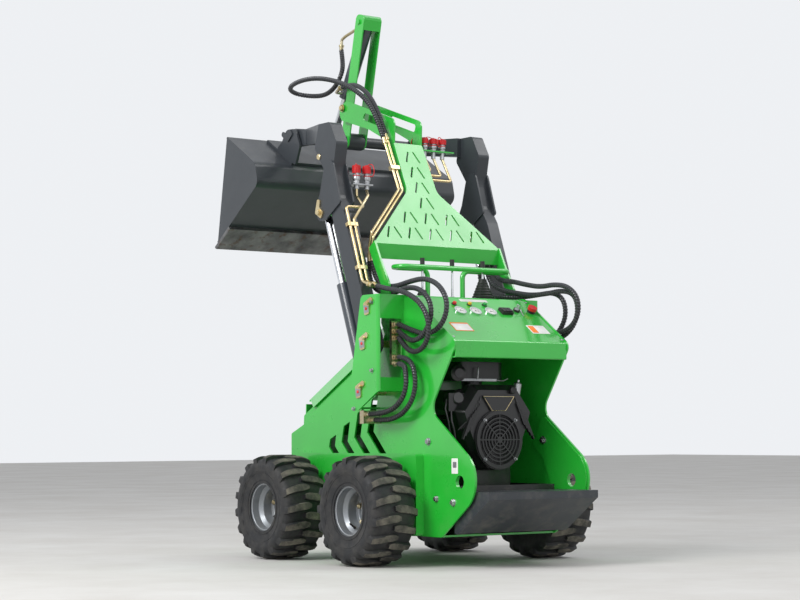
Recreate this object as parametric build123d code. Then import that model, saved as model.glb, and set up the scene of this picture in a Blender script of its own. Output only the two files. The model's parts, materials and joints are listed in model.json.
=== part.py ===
"""Stand-on mini skid steer loader, wheeled, lift arms raised and bucket part dumped.

Millimetres. +X is the machine's left, -Y its front (bucket end), +Z up. The origin is on the
ground under the middle of the whole machine.
"""

import math
import os

from build123d import *

# ---------------------------------------------------------------- driving sizes
AXLE_MID_Y = -85           # midway between the axles
WHEELBASE = 661
TYRE_OD = 457              # 18 x 8.50-8 tyre
TYRE_WIDTH = 221
TYRE_INNER_X = 366
BEAD_D = 203               # 8 inch rim
RIM_WIDTH = 178
RIM_LIP = 6
SHEET = 8                  # side plates, towers, link plate
SIDE_X = 305               # outer face of the chassis side plates
SEAT_GAP = 0.3             # clearance where bolted pieces meet
RUN_GAP = 5.5              # clearance beside pieces that move

CASE_X = 345               # outer face of the drive cases
CASE_BOTTOM = 125
CASE_TOP = 464
CASE_FRONT = -505
CASE_REAR = 412

TOWER_X = 437              # outer face of the arm towers
ARM_INNER_X = 362
ARM_OUTER_X = 423
PIN_D = 30
PIN_SEAT = PIN_D + 0.4     # hole that holds a pin still
PIN_BORE = PIN_D + 1.2     # hole that turns on a pin

# Pivots in side view, (y, z) at rest.
ARM_PIVOT = (163, 927)
LINK_PIVOT = (196, 1073)
LIFT_BASE = (134, 724)
LIFT_EYE = (-168, 1512)
HITCH_PIVOT = (-535, 1902)
TILT_EYE = (-706, 1925)
LEVER_TOP = (-413, 2440)
LINK_TIP = (HITCH_PIVOT[0] + LINK_PIVOT[0] - ARM_PIVOT[0],
            HITCH_PIVOT[1] + LINK_PIVOT[1] - ARM_PIVOT[1])

LINK_LEG_X = 335           # inner face of the upper link's legs
LEG_SHEET = 10
TIP_PLATE_X = 70           # inner face of the plates at the upper link's tip
LEVER_HALF = 50            # half width of the tilt lever
LEVER_SHEET = 6
LEVER_FRONT = 28           # lever's depth ahead of its pivot line
LEVER_REAR = 38            # lever's depth behind its pivot line
CROSS_TUBE_D = 50
EAR_X = 340                # inner face of the hitch ears
EAR_SHEET = 12
TIP_INNER_X = 312          # inner face of the arm tips

LIFT_CYL_X = 393           # middle of the lift cylinders
LIFT_BARREL_D = 58
LIFT_BORE_D = 46
LIFT_ROD_D = 38
LIFT_BARREL_LENGTH = 500
LIFT_ROD_LENGTH = 503
TILT_BARREL_D = 60
TILT_BORE_D = 46
TILT_ROD_D = 32
TILT_BARREL_LENGTH = 374
TILT_ROD_LENGTH = 358
EYE_WIDTH = 44
EYE_D = 54
TILT_EYE_D = 42
TILT_PIN_D = 24
TILT_EYE_WIDTH = 34

BUCKET_HALF = 555
BUCKET_SHEET = 8

ENGINE_X = -22             # crankshaft's offset from the middle
ENGINE_FRONT = 425         # front face of the blower housing
ENGINE_Y = 505             # rear face of the blower housing
ENGINE_Z = 520             # crankshaft height
PLATFORM_TOP = 311
PLATFORM_REAR = 825

os.makedirs("parts", exist_ok=True)


# ---------------------------------------------------------------- helpers
def save(name, *solids):
    """Writes one node; several solids stay apart inside it."""
    shape = solids[0] if len(solids) == 1 else Compound(children=list(solids))
    export_step(shape, f"parts/{name}.step")


def outline(rows):
    """Closed face from rows of (across, up, corner radius)."""
    spots = [(a, b) for a, b, _ in rows]
    return make_face(FilletPolyline(*spots, radius=[r for _, _, r in rows], close=True))


def side_slab(rows, x0, x1):
    """Plate cut to a side-view outline of (y, z, corner radius), from x0 to x1."""
    return extrude(Plane.YZ.offset(x0) * outline(rows), x1 - x0)


def sheet_rows(rows, thickness):
    """Outline of a bent sheet: rows of (y, z, bend radius) and its thickness to the left."""
    count = len(rows)
    normals = []
    for (y0, z0, _), (y1, z1, _) in zip(rows, rows[1:]):
        length = math.hypot(y1 - y0, z1 - z0)
        normals.append((-(z1 - z0) / length, (y1 - y0) / length))
    inner = []
    for i, (y, z, radius) in enumerate(rows):
        before = normals[max(i - 1, 0)]
        after = normals[min(i, count - 2)]
        scale = thickness / (1 + before[0] * after[0] + before[1] * after[1])
        turn = before[0] * after[1] - before[1] * after[0]
        bend = max(radius - math.copysign(thickness, thickness * turn), 0) if radius else 0
        inner.append((y + scale * (before[0] + after[0]), z + scale * (before[1] + after[1]), bend))
    return [*rows, *reversed(inner)]


def x_rod(spot, x0, x1, diameter):
    """Round bar along X through the side-view spot (y, z)."""
    return Pos((x0 + x1) / 2, spot[0], spot[1]) * Rot(0, 90, 0) * Cylinder(diameter / 2, x1 - x0)


def other_side(shape):
    return mirror(shape, about=Plane.YZ)


def box(x0, x1, y0, y1, z0, z1):
    return Pos((x0 + x1) / 2, (y0 + y1) / 2, (z0 + z1) / 2) * Box(x1 - x0, y1 - y0, z1 - z0)


def along(start, end):
    """Plane at start whose normal points to end, for parts built up a link's own axis."""
    direction = (0, end[0] - start[0], end[1] - start[1])
    return Plane(origin=(0, start[0], start[1]), x_dir=(1, 0, 0), z_dir=direction)


# ---------------------------------------------------------------- wheels
def tyre():
    """Carcass and tread band on the X axis, centred on its own middle."""
    half = TYRE_WIDTH / 2
    crown = TYRE_OD / 2
    bead = BEAD_D / 2
    rim_half = RIM_WIDTH / 2
    seat = rim_half - RIM_LIP - 0.5
    rows = [
        (-seat, bead + 0.5, 4), (-seat, bead + 16, 4), (-rim_half - 8, bead + 28, 12),
        (-half, crown - 62, 30),
        (-half + 8, crown - 10, 26), (-half + 50, crown, 60), (half - 50, crown, 60),
        (half - 8, crown - 10, 26), (half, crown - 62, 30), (rim_half + 8, bead + 28, 12),
        (seat, bead + 16, 4), (seat, bead + 0.5, 4), (seat - 20, bead + 0.5, 4),
        (rim_half - 12, bead + 34, 10), (half - 16, crown - 55, 24), (half - 50, crown - 22, 40),
        (-half + 50, crown - 22, 40), (-half + 16, crown - 55, 24), (-rim_half + 12, bead + 34, 10),
        (-seat + 20, bead + 0.5, 4),
    ]
    return revolve(outline(rows), axis=Axis.X)


DISC_X = -12               # rim disc's outer face, from the wheel's middle
DISC_SHEET = 8
HUB_BORE_D = 68
LUG_CIRCLE_D = 114.3
LUG_COUNT = 5


def rim():
    """Deep-dish steel rim on the X axis, outer side towards +X."""
    half = RIM_WIDTH / 2
    seat = BEAD_D / 2
    rows = [
        (-half, seat + 14, 2), (-half + RIM_LIP, seat + 14, 2), (-half + RIM_LIP, seat, 3),
        (-half + 34, seat - 1, 4), (-half + 48, seat - 16, 6), (half - 48, seat - 16, 6),
        (half - 34, seat - 1, 4), (half - RIM_LIP, seat, 3), (half - RIM_LIP, seat + 14, 2),
        (half, seat + 14, 2), (half, seat - 5, 4), (half - 34, seat - 6, 4),
        (half - 50, seat - 21, 6), (-half + 50, seat - 21, 6), (-half + 34, seat - 6, 4),
        (-half, seat - 5, 4),
    ]
    barrel = revolve(outline(rows), axis=Axis.X)
    disc_rows = [
        (DISC_X - DISC_SHEET, HUB_BORE_D / 2, 0), (DISC_X, HUB_BORE_D / 2, 0),
        (DISC_X, 74, 8), (DISC_X + 12, seat - 20, 0), (DISC_X + 4, seat - 20, 0),
        (DISC_X - DISC_SHEET, 74, 8),
    ]
    disc = revolve(outline(disc_rows), axis=Axis.X)
    holes = [
        Rot(X=360 / LUG_COUNT * i) * Pos(DISC_X, 0, LUG_CIRCLE_D / 2) * Rot(0, 90, 0)
        * Cylinder(7.5, 60) for i in range(LUG_COUNT)
    ]
    return barrel + disc - holes


HUB_PLATE = 12
AXLE_D = 44
BOSS_X = CASE_X + 15


def hub():
    """Wheel flange, its collar and the axle that turns in the drive case."""
    wheel_x = TYRE_INNER_X + TYRE_WIDTH / 2
    plate_x = wheel_x + DISC_X - DISC_SHEET - SEAT_GAP
    flange = x_rod((0, 0), plate_x - HUB_PLATE, plate_x, 150)
    collar = x_rod((0, 0), BOSS_X + RUN_GAP, plate_x, 84)
    pilot = x_rod((0, 0), plate_x, plate_x + 26, HUB_BORE_D - 1)
    axle = x_rod((0, 0), CASE_X - 35, plate_x, AXLE_D)
    studs = [
        Rot(X=360 / LUG_COUNT * i)
        * x_rod((0, LUG_CIRCLE_D / 2), plate_x - 4, plate_x + 30, 12) for i in range(LUG_COUNT)
    ]
    return Pos(-wheel_x, 0, 0) * (flange + collar + pilot + axle + studs)


AXLES_Y = {"front": AXLE_MID_Y - WHEELBASE / 2, "rear": AXLE_MID_Y + WHEELBASE / 2}
WHEEL_X = TYRE_INNER_X + TYRE_WIDTH / 2
for end, axle_y in AXLES_Y.items():
    place = Pos(WHEEL_X, axle_y, TYRE_OD / 2)
    for kind, shape in (("tyre", tyre()), ("rim", rim()), ("hub", hub())):
        piece = place * shape
        save(f"{kind}_{end}_left", piece)
        save(f"{kind}_{end}_right", other_side(piece))

# ---------------------------------------------------------------- chassis
HOOD_FOOT = (-488, 704)
HOOD_HEAD = (112, 1020)
HOOD_FLANGE = 77           # depth of the hood's sloping side flange
HOOD_TOP_HALF = SIDE_X - 30
HOOD_EDGE_HALF = SIDE_X + 12
HOOD_SHEET = 4
NOSE_SHELF = (-491, 590)
NOSE_TOP = (-593, 550)
NOSE_LOW = (-593, 230)
BELLY_FRONT = (-520, 123)
BELLY_REAR = (533, 123)
CONSOLE_LIP = (641, 919)
CONSOLE_KNEE = (342, 1131)
CONSOLE_FRONT = (118, 1131)

slope = math.atan2(HOOD_HEAD[1] - HOOD_FOOT[1], HOOD_HEAD[0] - HOOD_FOOT[0])
flange_lean = (HOOD_EDGE_HALF - HOOD_TOP_HALF) / HOOD_FLANGE
hood_drop = (SIDE_X - HOOD_TOP_HALF) / flange_lean + HOOD_SHEET * 2.4
drop_z = hood_drop / math.cos(slope)

side_rows = [
    (*BELLY_FRONT, 30), (*BELLY_REAR, 20), (847, 357, 132), (458, 643, 57), (*CONSOLE_LIP, 35),
    (*CONSOLE_KNEE, 45), (*CONSOLE_FRONT, 15),
    (*HOOD_HEAD, 0),
    (HOOD_HEAD[0] + hood_drop * math.sin(slope), HOOD_HEAD[1] - hood_drop * math.cos(slope), 0),
    (HOOD_FOOT[0], HOOD_FOOT[1] - drop_z, 8),
    (*NOSE_SHELF, 6), (*NOSE_TOP, 12), (*NOSE_LOW, 25),
]
side = side_slab(side_rows, SIDE_X - SHEET, SIDE_X)

# Vent slots: (vertex y, vertex z, height of the upper leg), each a "<" open to the rear.
SLOT_WIDTH = 48
SLOT_FOOT_Z = 446
for i in range(4):
    vy, vz, rise = -289 + 98 * i, 490 + 21 * i, 34 + 36 * i
    fall = vz - SLOT_FOOT_Z
    slot = [
        (vy, vz, 0), (vy + fall, vz - fall, 0), (vy + fall + SLOT_WIDTH, vz - fall + 4, 0),
        (vy + SLOT_WIDTH, vz + 4, 0), (vy + SLOT_WIDTH + 0.25 * rise, vz + rise + 20, 0),
        (vy + 0.25 * rise, vz + rise, 0),
    ]
    side -= side_slab(slot, SIDE_X - SHEET - 1, SIDE_X + 1)

TIE_HOLE = (656, 350)
TIE_HOLE_D = 55
side -= x_rod(TIE_HOLE, SIDE_X - SHEET - 1, SIDE_X + 1, TIE_HOLE_D)
for pivot in (ARM_PIVOT, LINK_PIVOT, LIFT_BASE):
    side -= x_rod(pivot, SIDE_X - SHEET - 1, SIDE_X + 1, PIN_SEAT)
for axle_y in AXLES_Y.values():
    side -= x_rod((axle_y, TYRE_OD / 2), SIDE_X - SHEET - 1, SIDE_X + 1, AXLE_D + 30)

# Stiffening plates on the inside of the rear lobes.
doubler_rows = [
    (545, 205, 10), (592, 180, 30), (835, 357, 124), (470, 626, 20), (404, 500, 10),
    (470, 440, 60), (524, 330, 60), (529, 227, 10),
]
DOUBLER_SHEET = 8
doubler_x = SIDE_X - SHEET - SEAT_GAP
doubler = side_slab(doubler_rows, doubler_x - DOUBLER_SHEET, doubler_x)
doubler -= x_rod(TIE_HOLE, doubler_x - DOUBLER_SHEET - 1, doubler_x + 1, TIE_HOLE_D)
save("side_plates", side, other_side(side), doubler, other_side(doubler))

# Floor, nose and hood.
inner_x = SIDE_X - SHEET - SEAT_GAP
PAN_SHEET = 8
floor = box(-inner_x, inner_x, BELLY_FRONT[0] + 22, BELLY_REAR[0] - 4,
            BELLY_FRONT[1], BELLY_FRONT[1] + PAN_SHEET)

nose_rows = [
    (BELLY_FRONT[0] + 2, BELLY_FRONT[1] + 8, 0), (NOSE_LOW[0], NOSE_LOW[1], 25),
    (NOSE_TOP[0], NOSE_TOP[1], 12), (NOSE_SHELF[0] + 1, NOSE_SHELF[1] - 1, 8),
    (HOOD_FOOT[0] + 2, HOOD_FOOT[1] - 22, 0),
]
nose = side_slab(sheet_rows(nose_rows[::-1], 6), -inner_x, inner_x)
save("floor_and_nose", floor, nose)

hood_plane = Plane(origin=(0, HOOD_FOOT[0], HOOD_FOOT[1]), x_dir=(1, 0, 0),
                   z_dir=(0, math.cos(slope), math.sin(slope)))
hood_length = math.dist(HOOD_FOOT, HOOD_HEAD) - 1
hood_section = [
    (-HOOD_EDGE_HALF, HOOD_FLANGE, 0), (-HOOD_TOP_HALF, 0, 14), (HOOD_TOP_HALF, 0, 14),
    (HOOD_EDGE_HALF, HOOD_FLANGE, 0),
]
hood = extrude(hood_plane * outline(sheet_rows(hood_section, HOOD_SHEET)), hood_length)
# The flange's front end is cut back on a slant.
cut_rows = [(-600, 560, 0), (-384, 660, 0), (-495, 712, 0), (-600, 760, 0)]
hood -= side_slab(cut_rows, HOOD_TOP_HALF + 4, 340)
hood -= side_slab(cut_rows, -340, -HOOD_TOP_HALF - 4)
save("hood", hood)

# Console: bent panel from the front wall over the top to the rear lip.
console_rows = [
    (CONSOLE_LIP[0] - 46, CONSOLE_LIP[1] - 62, 0), (CONSOLE_LIP[0] - 18, CONSOLE_LIP[1] - 62, 6),
    (CONSOLE_LIP[0] - 18, CONSOLE_LIP[1] + 8, 12), (CONSOLE_KNEE[0], CONSOLE_KNEE[1] - 4, 40),
    (CONSOLE_FRONT[0] + 8, CONSOLE_FRONT[1] - 4, 12),
    (HOOD_HEAD[0] + 8, HOOD_HEAD[1] + 10, 0), (HOOD_HEAD[0] + 12, HOOD_HEAD[1] - 6, 0),
]
console = side_slab(sheet_rows(console_rows, 5), -inner_x, inner_x)
save("console", console)

# Wall ahead of the engine, from the floor to the console.
BULKHEAD_Y = 172
bulkhead = box(-inner_x, inner_x, BULKHEAD_Y - 5, BULKHEAD_Y,
               BELLY_FRONT[1] + PAN_SHEET + SEAT_GAP, 1117)
save("bulkhead", bulkhead)

# ---------------------------------------------------------------- towers
TOWER_REAR = 275
TOWER_TOP = 1132
TOWER_BOTTOM = 727
WINDOW_LOW = 783
WINDOW_HIGH = 1030
BEND = 14
tower_rows = [
    (TOWER_REAR, TOWER_BOTTOM, 0), (TOWER_REAR, TOWER_TOP, 0), (150, TOWER_TOP, 26),
    (112, 950, 40), (84, 815, 40), (64, 740, 30), (64, 652, 24), (124, 644, 16),
]
bent = [(TOWER_X, 40, 0), (TOWER_X, TOWER_REAR, BEND), (SIDE_X + SEAT_GAP, TOWER_REAR, 0)]
tower = extrude(Plane.XY.offset(600) * outline(sheet_rows(bent, SHEET)), 600)
tower &= side_slab(tower_rows, SIDE_X, TOWER_X + 1)
tower -= box(SIDE_X + SEAT_GAP + 9, TOWER_X - SHEET - 4, TOWER_REAR - SHEET - 1, TOWER_REAR + 1,
             WINDOW_LOW, WINDOW_HIGH)
# Foot that carries the outer plate down and in to the side plate.
tower += box(SIDE_X + SEAT_GAP, TOWER_X, 66, 96, 652, 660)
for pivot in (ARM_PIVOT, LINK_PIVOT, LIFT_BASE):
    tower -= x_rod(pivot, TOWER_X - SHEET - 1, TOWER_X + 1, PIN_SEAT)
save("towers", tower, other_side(tower))


def pin_head(spot, x, lean):
    """Gold retainer: a rounded plate on the pin's end with its one bolt, outer face to +X."""
    rows = [(-17, -26, 8), (17, -26, 8), (20, 10, 10), (52, 22, 9), (44, 42, 9), (-17, 26, 10)]
    plate = extrude(Plane.YZ.offset(x) * Pos(*spot) * Rot(0, 0, lean) * outline(rows), 6)
    return plate


pins = []
for pivot in (ARM_PIVOT, LINK_PIVOT, LIFT_BASE):
    pin = x_rod(pivot, SIDE_X - SHEET, TOWER_X + SEAT_GAP, PIN_D)
    pin += pin_head(pivot, TOWER_X + SEAT_GAP, 10)
    pins += [pin, other_side(pin)]
save("tower_pins", *pins)

# ---------------------------------------------------------------- drive cases
case = box(SIDE_X + SEAT_GAP, CASE_X, CASE_FRONT, CASE_REAR, CASE_BOTTOM, CASE_TOP)
case = fillet(case.edges().filter_by(Axis.X), 14)
for axle_y in AXLES_Y.values():
    spot = (axle_y, TYRE_OD / 2)
    case += x_rod(spot, CASE_X, BOSS_X, 120)
    case -= x_rod(spot, SIDE_X, BOSS_X + 1, AXLE_D + 1)
save("drive_cases", case, other_side(case))

# ---------------------------------------------------------------- engine
TRAY_TOP = 333
TRAY_HALF = SIDE_X - 55
tray = box(-TRAY_HALF, TRAY_HALF, 180, 590, 303, TRAY_TOP)
tray -= box(-TRAY_HALF + 10, TRAY_HALF - 10, 190, 580, 311, TRAY_TOP + 1)
for x in (50 - TRAY_HALF, TRAY_HALF - 50):
    tray += box(x - 25, x + 25, 185, 530, BELLY_FRONT[1] + PAN_SHEET + SEAT_GAP, 303)
save("engine_tray", tray)

block = box(-125, 125, 220, ENGINE_FRONT - 2, 311 + SEAT_GAP, 470)
block = fillet(block.edges().filter_by(Axis.Y), 25)
block += Pos(0, 340, ENGINE_Z) * Rot(90, 0, 0) * Cylinder(118, 2 * (ENGINE_FRONT - 340))
for sign in (-1, 1):
    lean = Pos(0, 320, ENGINE_Z) * Rot(0, 45 * sign, 0)
    block += lean * Pos(0, 0, 130) * Box(110, 170, 170)
    for i in range(6):
        block += lean * Pos(0, 0, 130 + 14 * i) * Box(132, 190, 5)
    block += lean * Pos(0, 0, 222) * Box(120, 180, 34)
save("engine_block", Pos(ENGINE_X, 0, 0) * block)

# Blower housing: a V over the two cylinders, drawn in to a ring round the fan.
housing_rows = [
    (-70, 392, 40), (70, 392, 40), (122, 470, 60), (170, 560, 20), (198, 642, 16),
    (117, 752, 14), (-117, 752, 14), (-198, 642, 16), (-170, 560, 20), (-122, 470, 60),
]
inner_rows = [(-60, 400, 30), (60, 400, 30), (112, 480, 50), (150, 565, 18), (176, 636, 14),
              (105, 728, 12), (-105, 728, 12), (-176, 636, 14), (-150, 565, 18), (-112, 480, 50)]
housing = extrude(Plane.XZ.offset(-ENGINE_FRONT) * outline(housing_rows), -34)
housing = loft([Plane.XZ.offset(-ENGINE_FRONT - 34) * outline(housing_rows),
                Plane.XZ.offset(-ENGINE_Y + 8) * outline(inner_rows)]) + housing
badge_rows = [(-88, 706, 6), (88, 706, 6), (38, 637, 6), (-38, 637, 6)]
housing += extrude(Plane.XZ.offset(-ENGINE_Y + 12) * outline(badge_rows), -12)
for sign in (-1, 1):
    for i in range(5):
        rib = Pos(sign * (118 + 13 * i), ENGINE_Y - 6, 628 - 15 * i) * Rot(0, sign * -24, 0)
        housing += rib * Box(5, 14, 100)
housing += Pos(0, ENGINE_Y - 8, ENGINE_Z) * Rot(90, 0, 0) * Cylinder(126, 16)
housing -= Pos(0, ENGINE_Y, ENGINE_Z) * Rot(90, 0, 0) * Cylinder(112, 60)
save("blower_housing", Pos(ENGINE_X, 0, 0) * housing)

guard = Cylinder(122, 5) - Cylinder(109, 5)
for radius in (14, 30, 46, 62, 78, 94, 112):
    guard += Cylinder(radius, 5) - Cylinder(radius - 6, 5)
for i in range(8):
    guard += Rot(0, 0, 45 * i) * Pos(60, 0, 0) * Box(106, 5, 5)
guard += Cylinder(8, 5)
save("fan_guard", Pos(ENGINE_X, ENGINE_Y + 2.5 + SEAT_GAP, ENGINE_Z) * Rot(90, 0, 0) * guard)

cleaner = box(-120, 120, 240, 400, 772, 850)
cleaner = fillet(cleaner.edges().filter_by(Axis.Z), 40)
cleaner += Pos(0, 320, 735) * Cylinder(44, 110)
cleaner += box(-20, 20, 300, 340, ENGINE_Z + 118 + SEAT_GAP, 700)
save("air_cleaner", Pos(ENGINE_X, 0, 0) * cleaner)

# ---------------------------------------------------------------- stand platform
platform_half = doubler_x - DOUBLER_SHEET - 0.7
wedge = [
    (PLATFORM_REAR, PLATFORM_TOP - 30, 0), (PLATFORM_REAR, PLATFORM_TOP, 0),
    (598, PLATFORM_TOP, 0), (598, 140, 0), (622, 140, 0),
]
platform = side_slab(wedge, -platform_half, platform_half)
hollow = [(PLATFORM_REAR - 8, PLATFORM_TOP - 22, 0), (PLATFORM_REAR - 8, PLATFORM_TOP - 6, 0),
          (590, PLATFORM_TOP - 6, 0), (590, 152, 0), (627, 152, 0)]
platform -= side_slab(hollow, -platform_half + 6, platform_half - 6)
save("stand_platform", platform)

# ---------------------------------------------------------------- console fittings
BAR_D = 22
BAR_HALF = 292
BAR_REAR = 255
BAR_FRONT = 165
BAR_LEG_X = 95
BAR_Z = 1256
deck_z = CONSOLE_FRONT[1] - 4
bar_points = [(BAR_LEG_X, BAR_FRONT, deck_z + SEAT_GAP), (BAR_LEG_X, BAR_FRONT, BAR_Z),
              (BAR_HALF, BAR_FRONT, BAR_Z), (BAR_HALF, BAR_REAR, BAR_Z)]
bar_points += [(-x, y, z) for x, y, z in reversed(bar_points)]
bar_path = FilletPolyline(*bar_points, radius=34)
bar = sweep(Plane(origin=bar_path @ 0, z_dir=bar_path % 0) * Circle(BAR_D / 2), path=bar_path)
save("grab_bar", bar)

up = (Align.CENTER, Align.CENTER, Align.MIN)
LEVER_Y = 215
levers = []
# Columns: lever's place across, boot's foot radius, boot's height.
for x, foot, tall in ((160, 26, 34), (0, 14, 10), (-168, 50, 92)):
    stalk = Pos(x, LEVER_Y, deck_z + SEAT_GAP) * Cylinder(5, 150, align=up)
    stalk += Pos(x, LEVER_Y, 1266) * Cylinder(10, 33, align=up)
    folds = max(round(tall / 15), 1)
    for i in range(folds):
        wide = foot + (14 - foot) * i / folds
        stalk += Pos(x, LEVER_Y, deck_z + SEAT_GAP + tall / folds * i) * Cone(
            wide, wide * 0.8, tall / folds, align=up)
    levers.append(stalk)
save("control_levers", *levers)

# Instruments on the sloping panel, placed across and down its slope from the knee.
panel_top = (CONSOLE_KNEE[0], CONSOLE_KNEE[1] - 4)
panel_foot = (CONSOLE_LIP[0] - 18, CONSOLE_LIP[1] + 8)
panel_len = math.dist(panel_top, panel_foot)
panel_run = ((panel_foot[0] - panel_top[0]) / panel_len, (panel_foot[1] - panel_top[1]) / panel_len)
panel = Plane(origin=(0, *panel_top), x_dir=(-1, 0, 0), z_dir=(0, -panel_run[1], panel_run[0]))


def on_panel(across, down, lift):
    return panel * Pos(-across, -down, lift + SEAT_GAP)


instruments = []
for across in (129, 48, -34):
    gauge = on_panel(across, 116, 0) * Cylinder(27, 7, align=up)
    gauge -= on_panel(across, 116, 4) * Cylinder(22, 10, align=up)
    instruments.append(gauge)
    instruments.append(on_panel(across - 3, 61, 0) * Cylinder(8, 12, align=up))
instruments.append(on_panel(-120, 111, 0) * Box(58, 40, 12, align=up))
key = on_panel(-189, 96, 0) * Cylinder(15, 9, align=up)
key += on_panel(-189, 96, 8) * Box(3, 22, 22, align=up)
instruments.append(key)
STOP_X = 39 - SIDE_X
stop = on_panel(STOP_X, 102, 0) * Cylinder(14, 14, align=up)
stop += on_panel(STOP_X, 102, 12) * Cylinder(20, 14, align=up)
instruments.append(stop)
save("instruments", *instruments)

# ---------------------------------------------------------------- lift arms
GUSSET = 8
run_rows = [
    (212, 884, 42), (209, 945, 0), (5, 1499, 0), (-44, 1572, 60), (-78, 1690, 90),
    (-52, 1812, 30), (-103, 1905, 20), (-190, 1905, 0), (-222, 1800, 24), (-142, 1690, 60),
    (-130, 1590, 30), (-86, 1491, 0), (118, 945, 0), (114, 884, 42),
]
arm = side_slab(run_rows, ARM_INNER_X, ARM_OUTER_X)
rear_section = Plane(origin=(0, -186, 0), x_dir=(1, 0, 0), z_dir=(0, -1, 0))
front_section = Plane(origin=(0, -428, 0), x_dir=(1, 0, 0), z_dir=(0, -1, 0))
tip_outer_x = EAR_X - RUN_GAP
back_face = rear_section * Pos((342 + ARM_OUTER_X) / 2, 1862) * Rectangle(ARM_OUTER_X - 342, 86)
tip_face = front_section * Pos((TIP_INNER_X + tip_outer_x) / 2, 1884) * Rectangle(
    tip_outer_x - TIP_INNER_X, 72)
arm += loft([back_face, tip_face])
tip_rows = [(-426, 1848, 0), (-426, 1920, 0), (-520, 1934, 34), (-572, 1905, 34),
            (-560, 1850, 34)]
arm += side_slab(tip_rows, TIP_INNER_X, tip_outer_x)
gusset_rows = [
    (-12, 1545, 10), (-80, 1760, 30), (-140, 1700, 30), (-172, 1590, 40), (-204, 1530, 30),
    (-178, 1470, 34), (-120, 1480, 20),
]
for x0 in (ARM_INNER_X - GUSSET, ARM_OUTER_X):
    arm += side_slab(gusset_rows, x0, x0 + GUSSET)
arm -= x_rod(LIFT_EYE, ARM_INNER_X - GUSSET - 1, ARM_OUTER_X + GUSSET + 1, PIN_SEAT)
arm -= x_rod(ARM_PIVOT, ARM_INNER_X - 1, ARM_OUTER_X + 1, PIN_BORE)
arm -= x_rod(HITCH_PIVOT, TIP_INNER_X - 1, tip_outer_x + 1, PIN_BORE)
save("lift_arm_left", arm)
save("lift_arm_right", other_side(arm))

tube = x_rod(HITCH_PIVOT, -TIP_INNER_X + SEAT_GAP, TIP_INNER_X - SEAT_GAP, CROSS_TUBE_D)
tube += x_rod(HITCH_PIVOT, -LEVER_HALF + LEVER_SHEET + 1, LEVER_HALF - LEVER_SHEET - 1, 78)
save("arm_cross_tube", tube)

eye_pins = []
for x0, x1 in ((ARM_OUTER_X - 4, ARM_OUTER_X + GUSSET + SEAT_GAP),):
    stub = x_rod(LIFT_EYE, x0, x1, PIN_D) + pin_head(LIFT_EYE, x1, 60)
    eye_pins += [stub, other_side(stub)]
save("arm_eye_pins", *eye_pins)

# ---------------------------------------------------------------- upper link
PLATE_HEAD = (-105, 1841)
PLATE_NECK = (0, 1614)
PLATE_SKIRT = (120, 1362)
PLATE_FOOT = (165, 1283)
NECK_HALF = 82
HEAD_HALF = TIP_PLATE_X + SHEET
SKIRT_HALF = LINK_LEG_X + LEG_SHEET
plate_plane = Plane(origin=(0, *PLATE_SKIRT), x_dir=(1, 0, 0),
                    z_dir=(0, PLATE_HEAD[1] - PLATE_SKIRT[1], PLATE_SKIRT[0] - PLATE_HEAD[0]))
head_up = math.dist(PLATE_SKIRT, PLATE_HEAD)
neck_up = math.dist(PLATE_SKIRT, PLATE_NECK)
face_rows = [
    (-SKIRT_HALF, 0, 0), (SKIRT_HALF, 0, 0), (NECK_HALF, neck_up, 60), (HEAD_HALF, head_up, 6),
    (-HEAD_HALF, head_up, 6), (-NECK_HALF, neck_up, 60),
]


def on_plate(shape):
    """Places a flat shape, drawn across and up the link plate, on its rear face."""
    return plate_plane * (Rot(0, 0, 180) * mirror(shape, about=Plane.YZ))


plate = extrude(on_plate(outline(face_rows)), -SHEET)
# Slots in pairs like a gable, in rows: height up the plate, then the gables' centres across it.
SLOT_ROW = 79.5
rows_up = [head_up - 43 - SLOT_ROW * i for i in range(6)]
gables = [(0,), (0,), (0,), (0,), (-114, 0, 114), (-226, -113, 0, 113, 226)]
for row_up, centres in zip(rows_up, gables):
    for centre in centres:
        for sign in (-1, 1):
            mark = Pos(centre + sign * 25, row_up - 27) * Rot(0, 0, sign * 23)
            plate -= extrude(on_plate(mark * SlotOverall(62, 9, rotation=90)), -SHEET)
skirt_rows = [PLATE_SKIRT, PLATE_FOOT]
skirt = side_slab(
    [(*PLATE_SKIRT, 0), (*PLATE_FOOT, 0), (PLATE_FOOT[0] - 8, PLATE_FOOT[1] - 3, 0),
     (PLATE_SKIRT[0] - 8, PLATE_SKIRT[1] - 3, 0)], -SKIRT_HALF, SKIRT_HALF)
plate += skirt
leg_rows = [
    (PLATE_SKIRT[0], PLATE_SKIRT[1] + 10, 0), (PLATE_FOOT[0], PLATE_FOOT[1], 10),
    (226, 1180, 30), (228, 1070, 30), (190, 1040, 30), (164, 1075, 30), (168, 1180, 40),
    (PLATE_FOOT[0] - 50, PLATE_FOOT[1] - 10, 20), (PLATE_SKIRT[0] - 40, PLATE_SKIRT[1] - 20, 0),
]
leg = side_slab(leg_rows, LINK_LEG_X, LINK_LEG_X + LEG_SHEET)
leg -= x_rod(LINK_PIVOT, LINK_LEG_X - 1, LINK_LEG_X + LEG_SHEET + 1, PIN_BORE)
plate += leg
plate += other_side(leg)
save("link_frame", plate)

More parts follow.
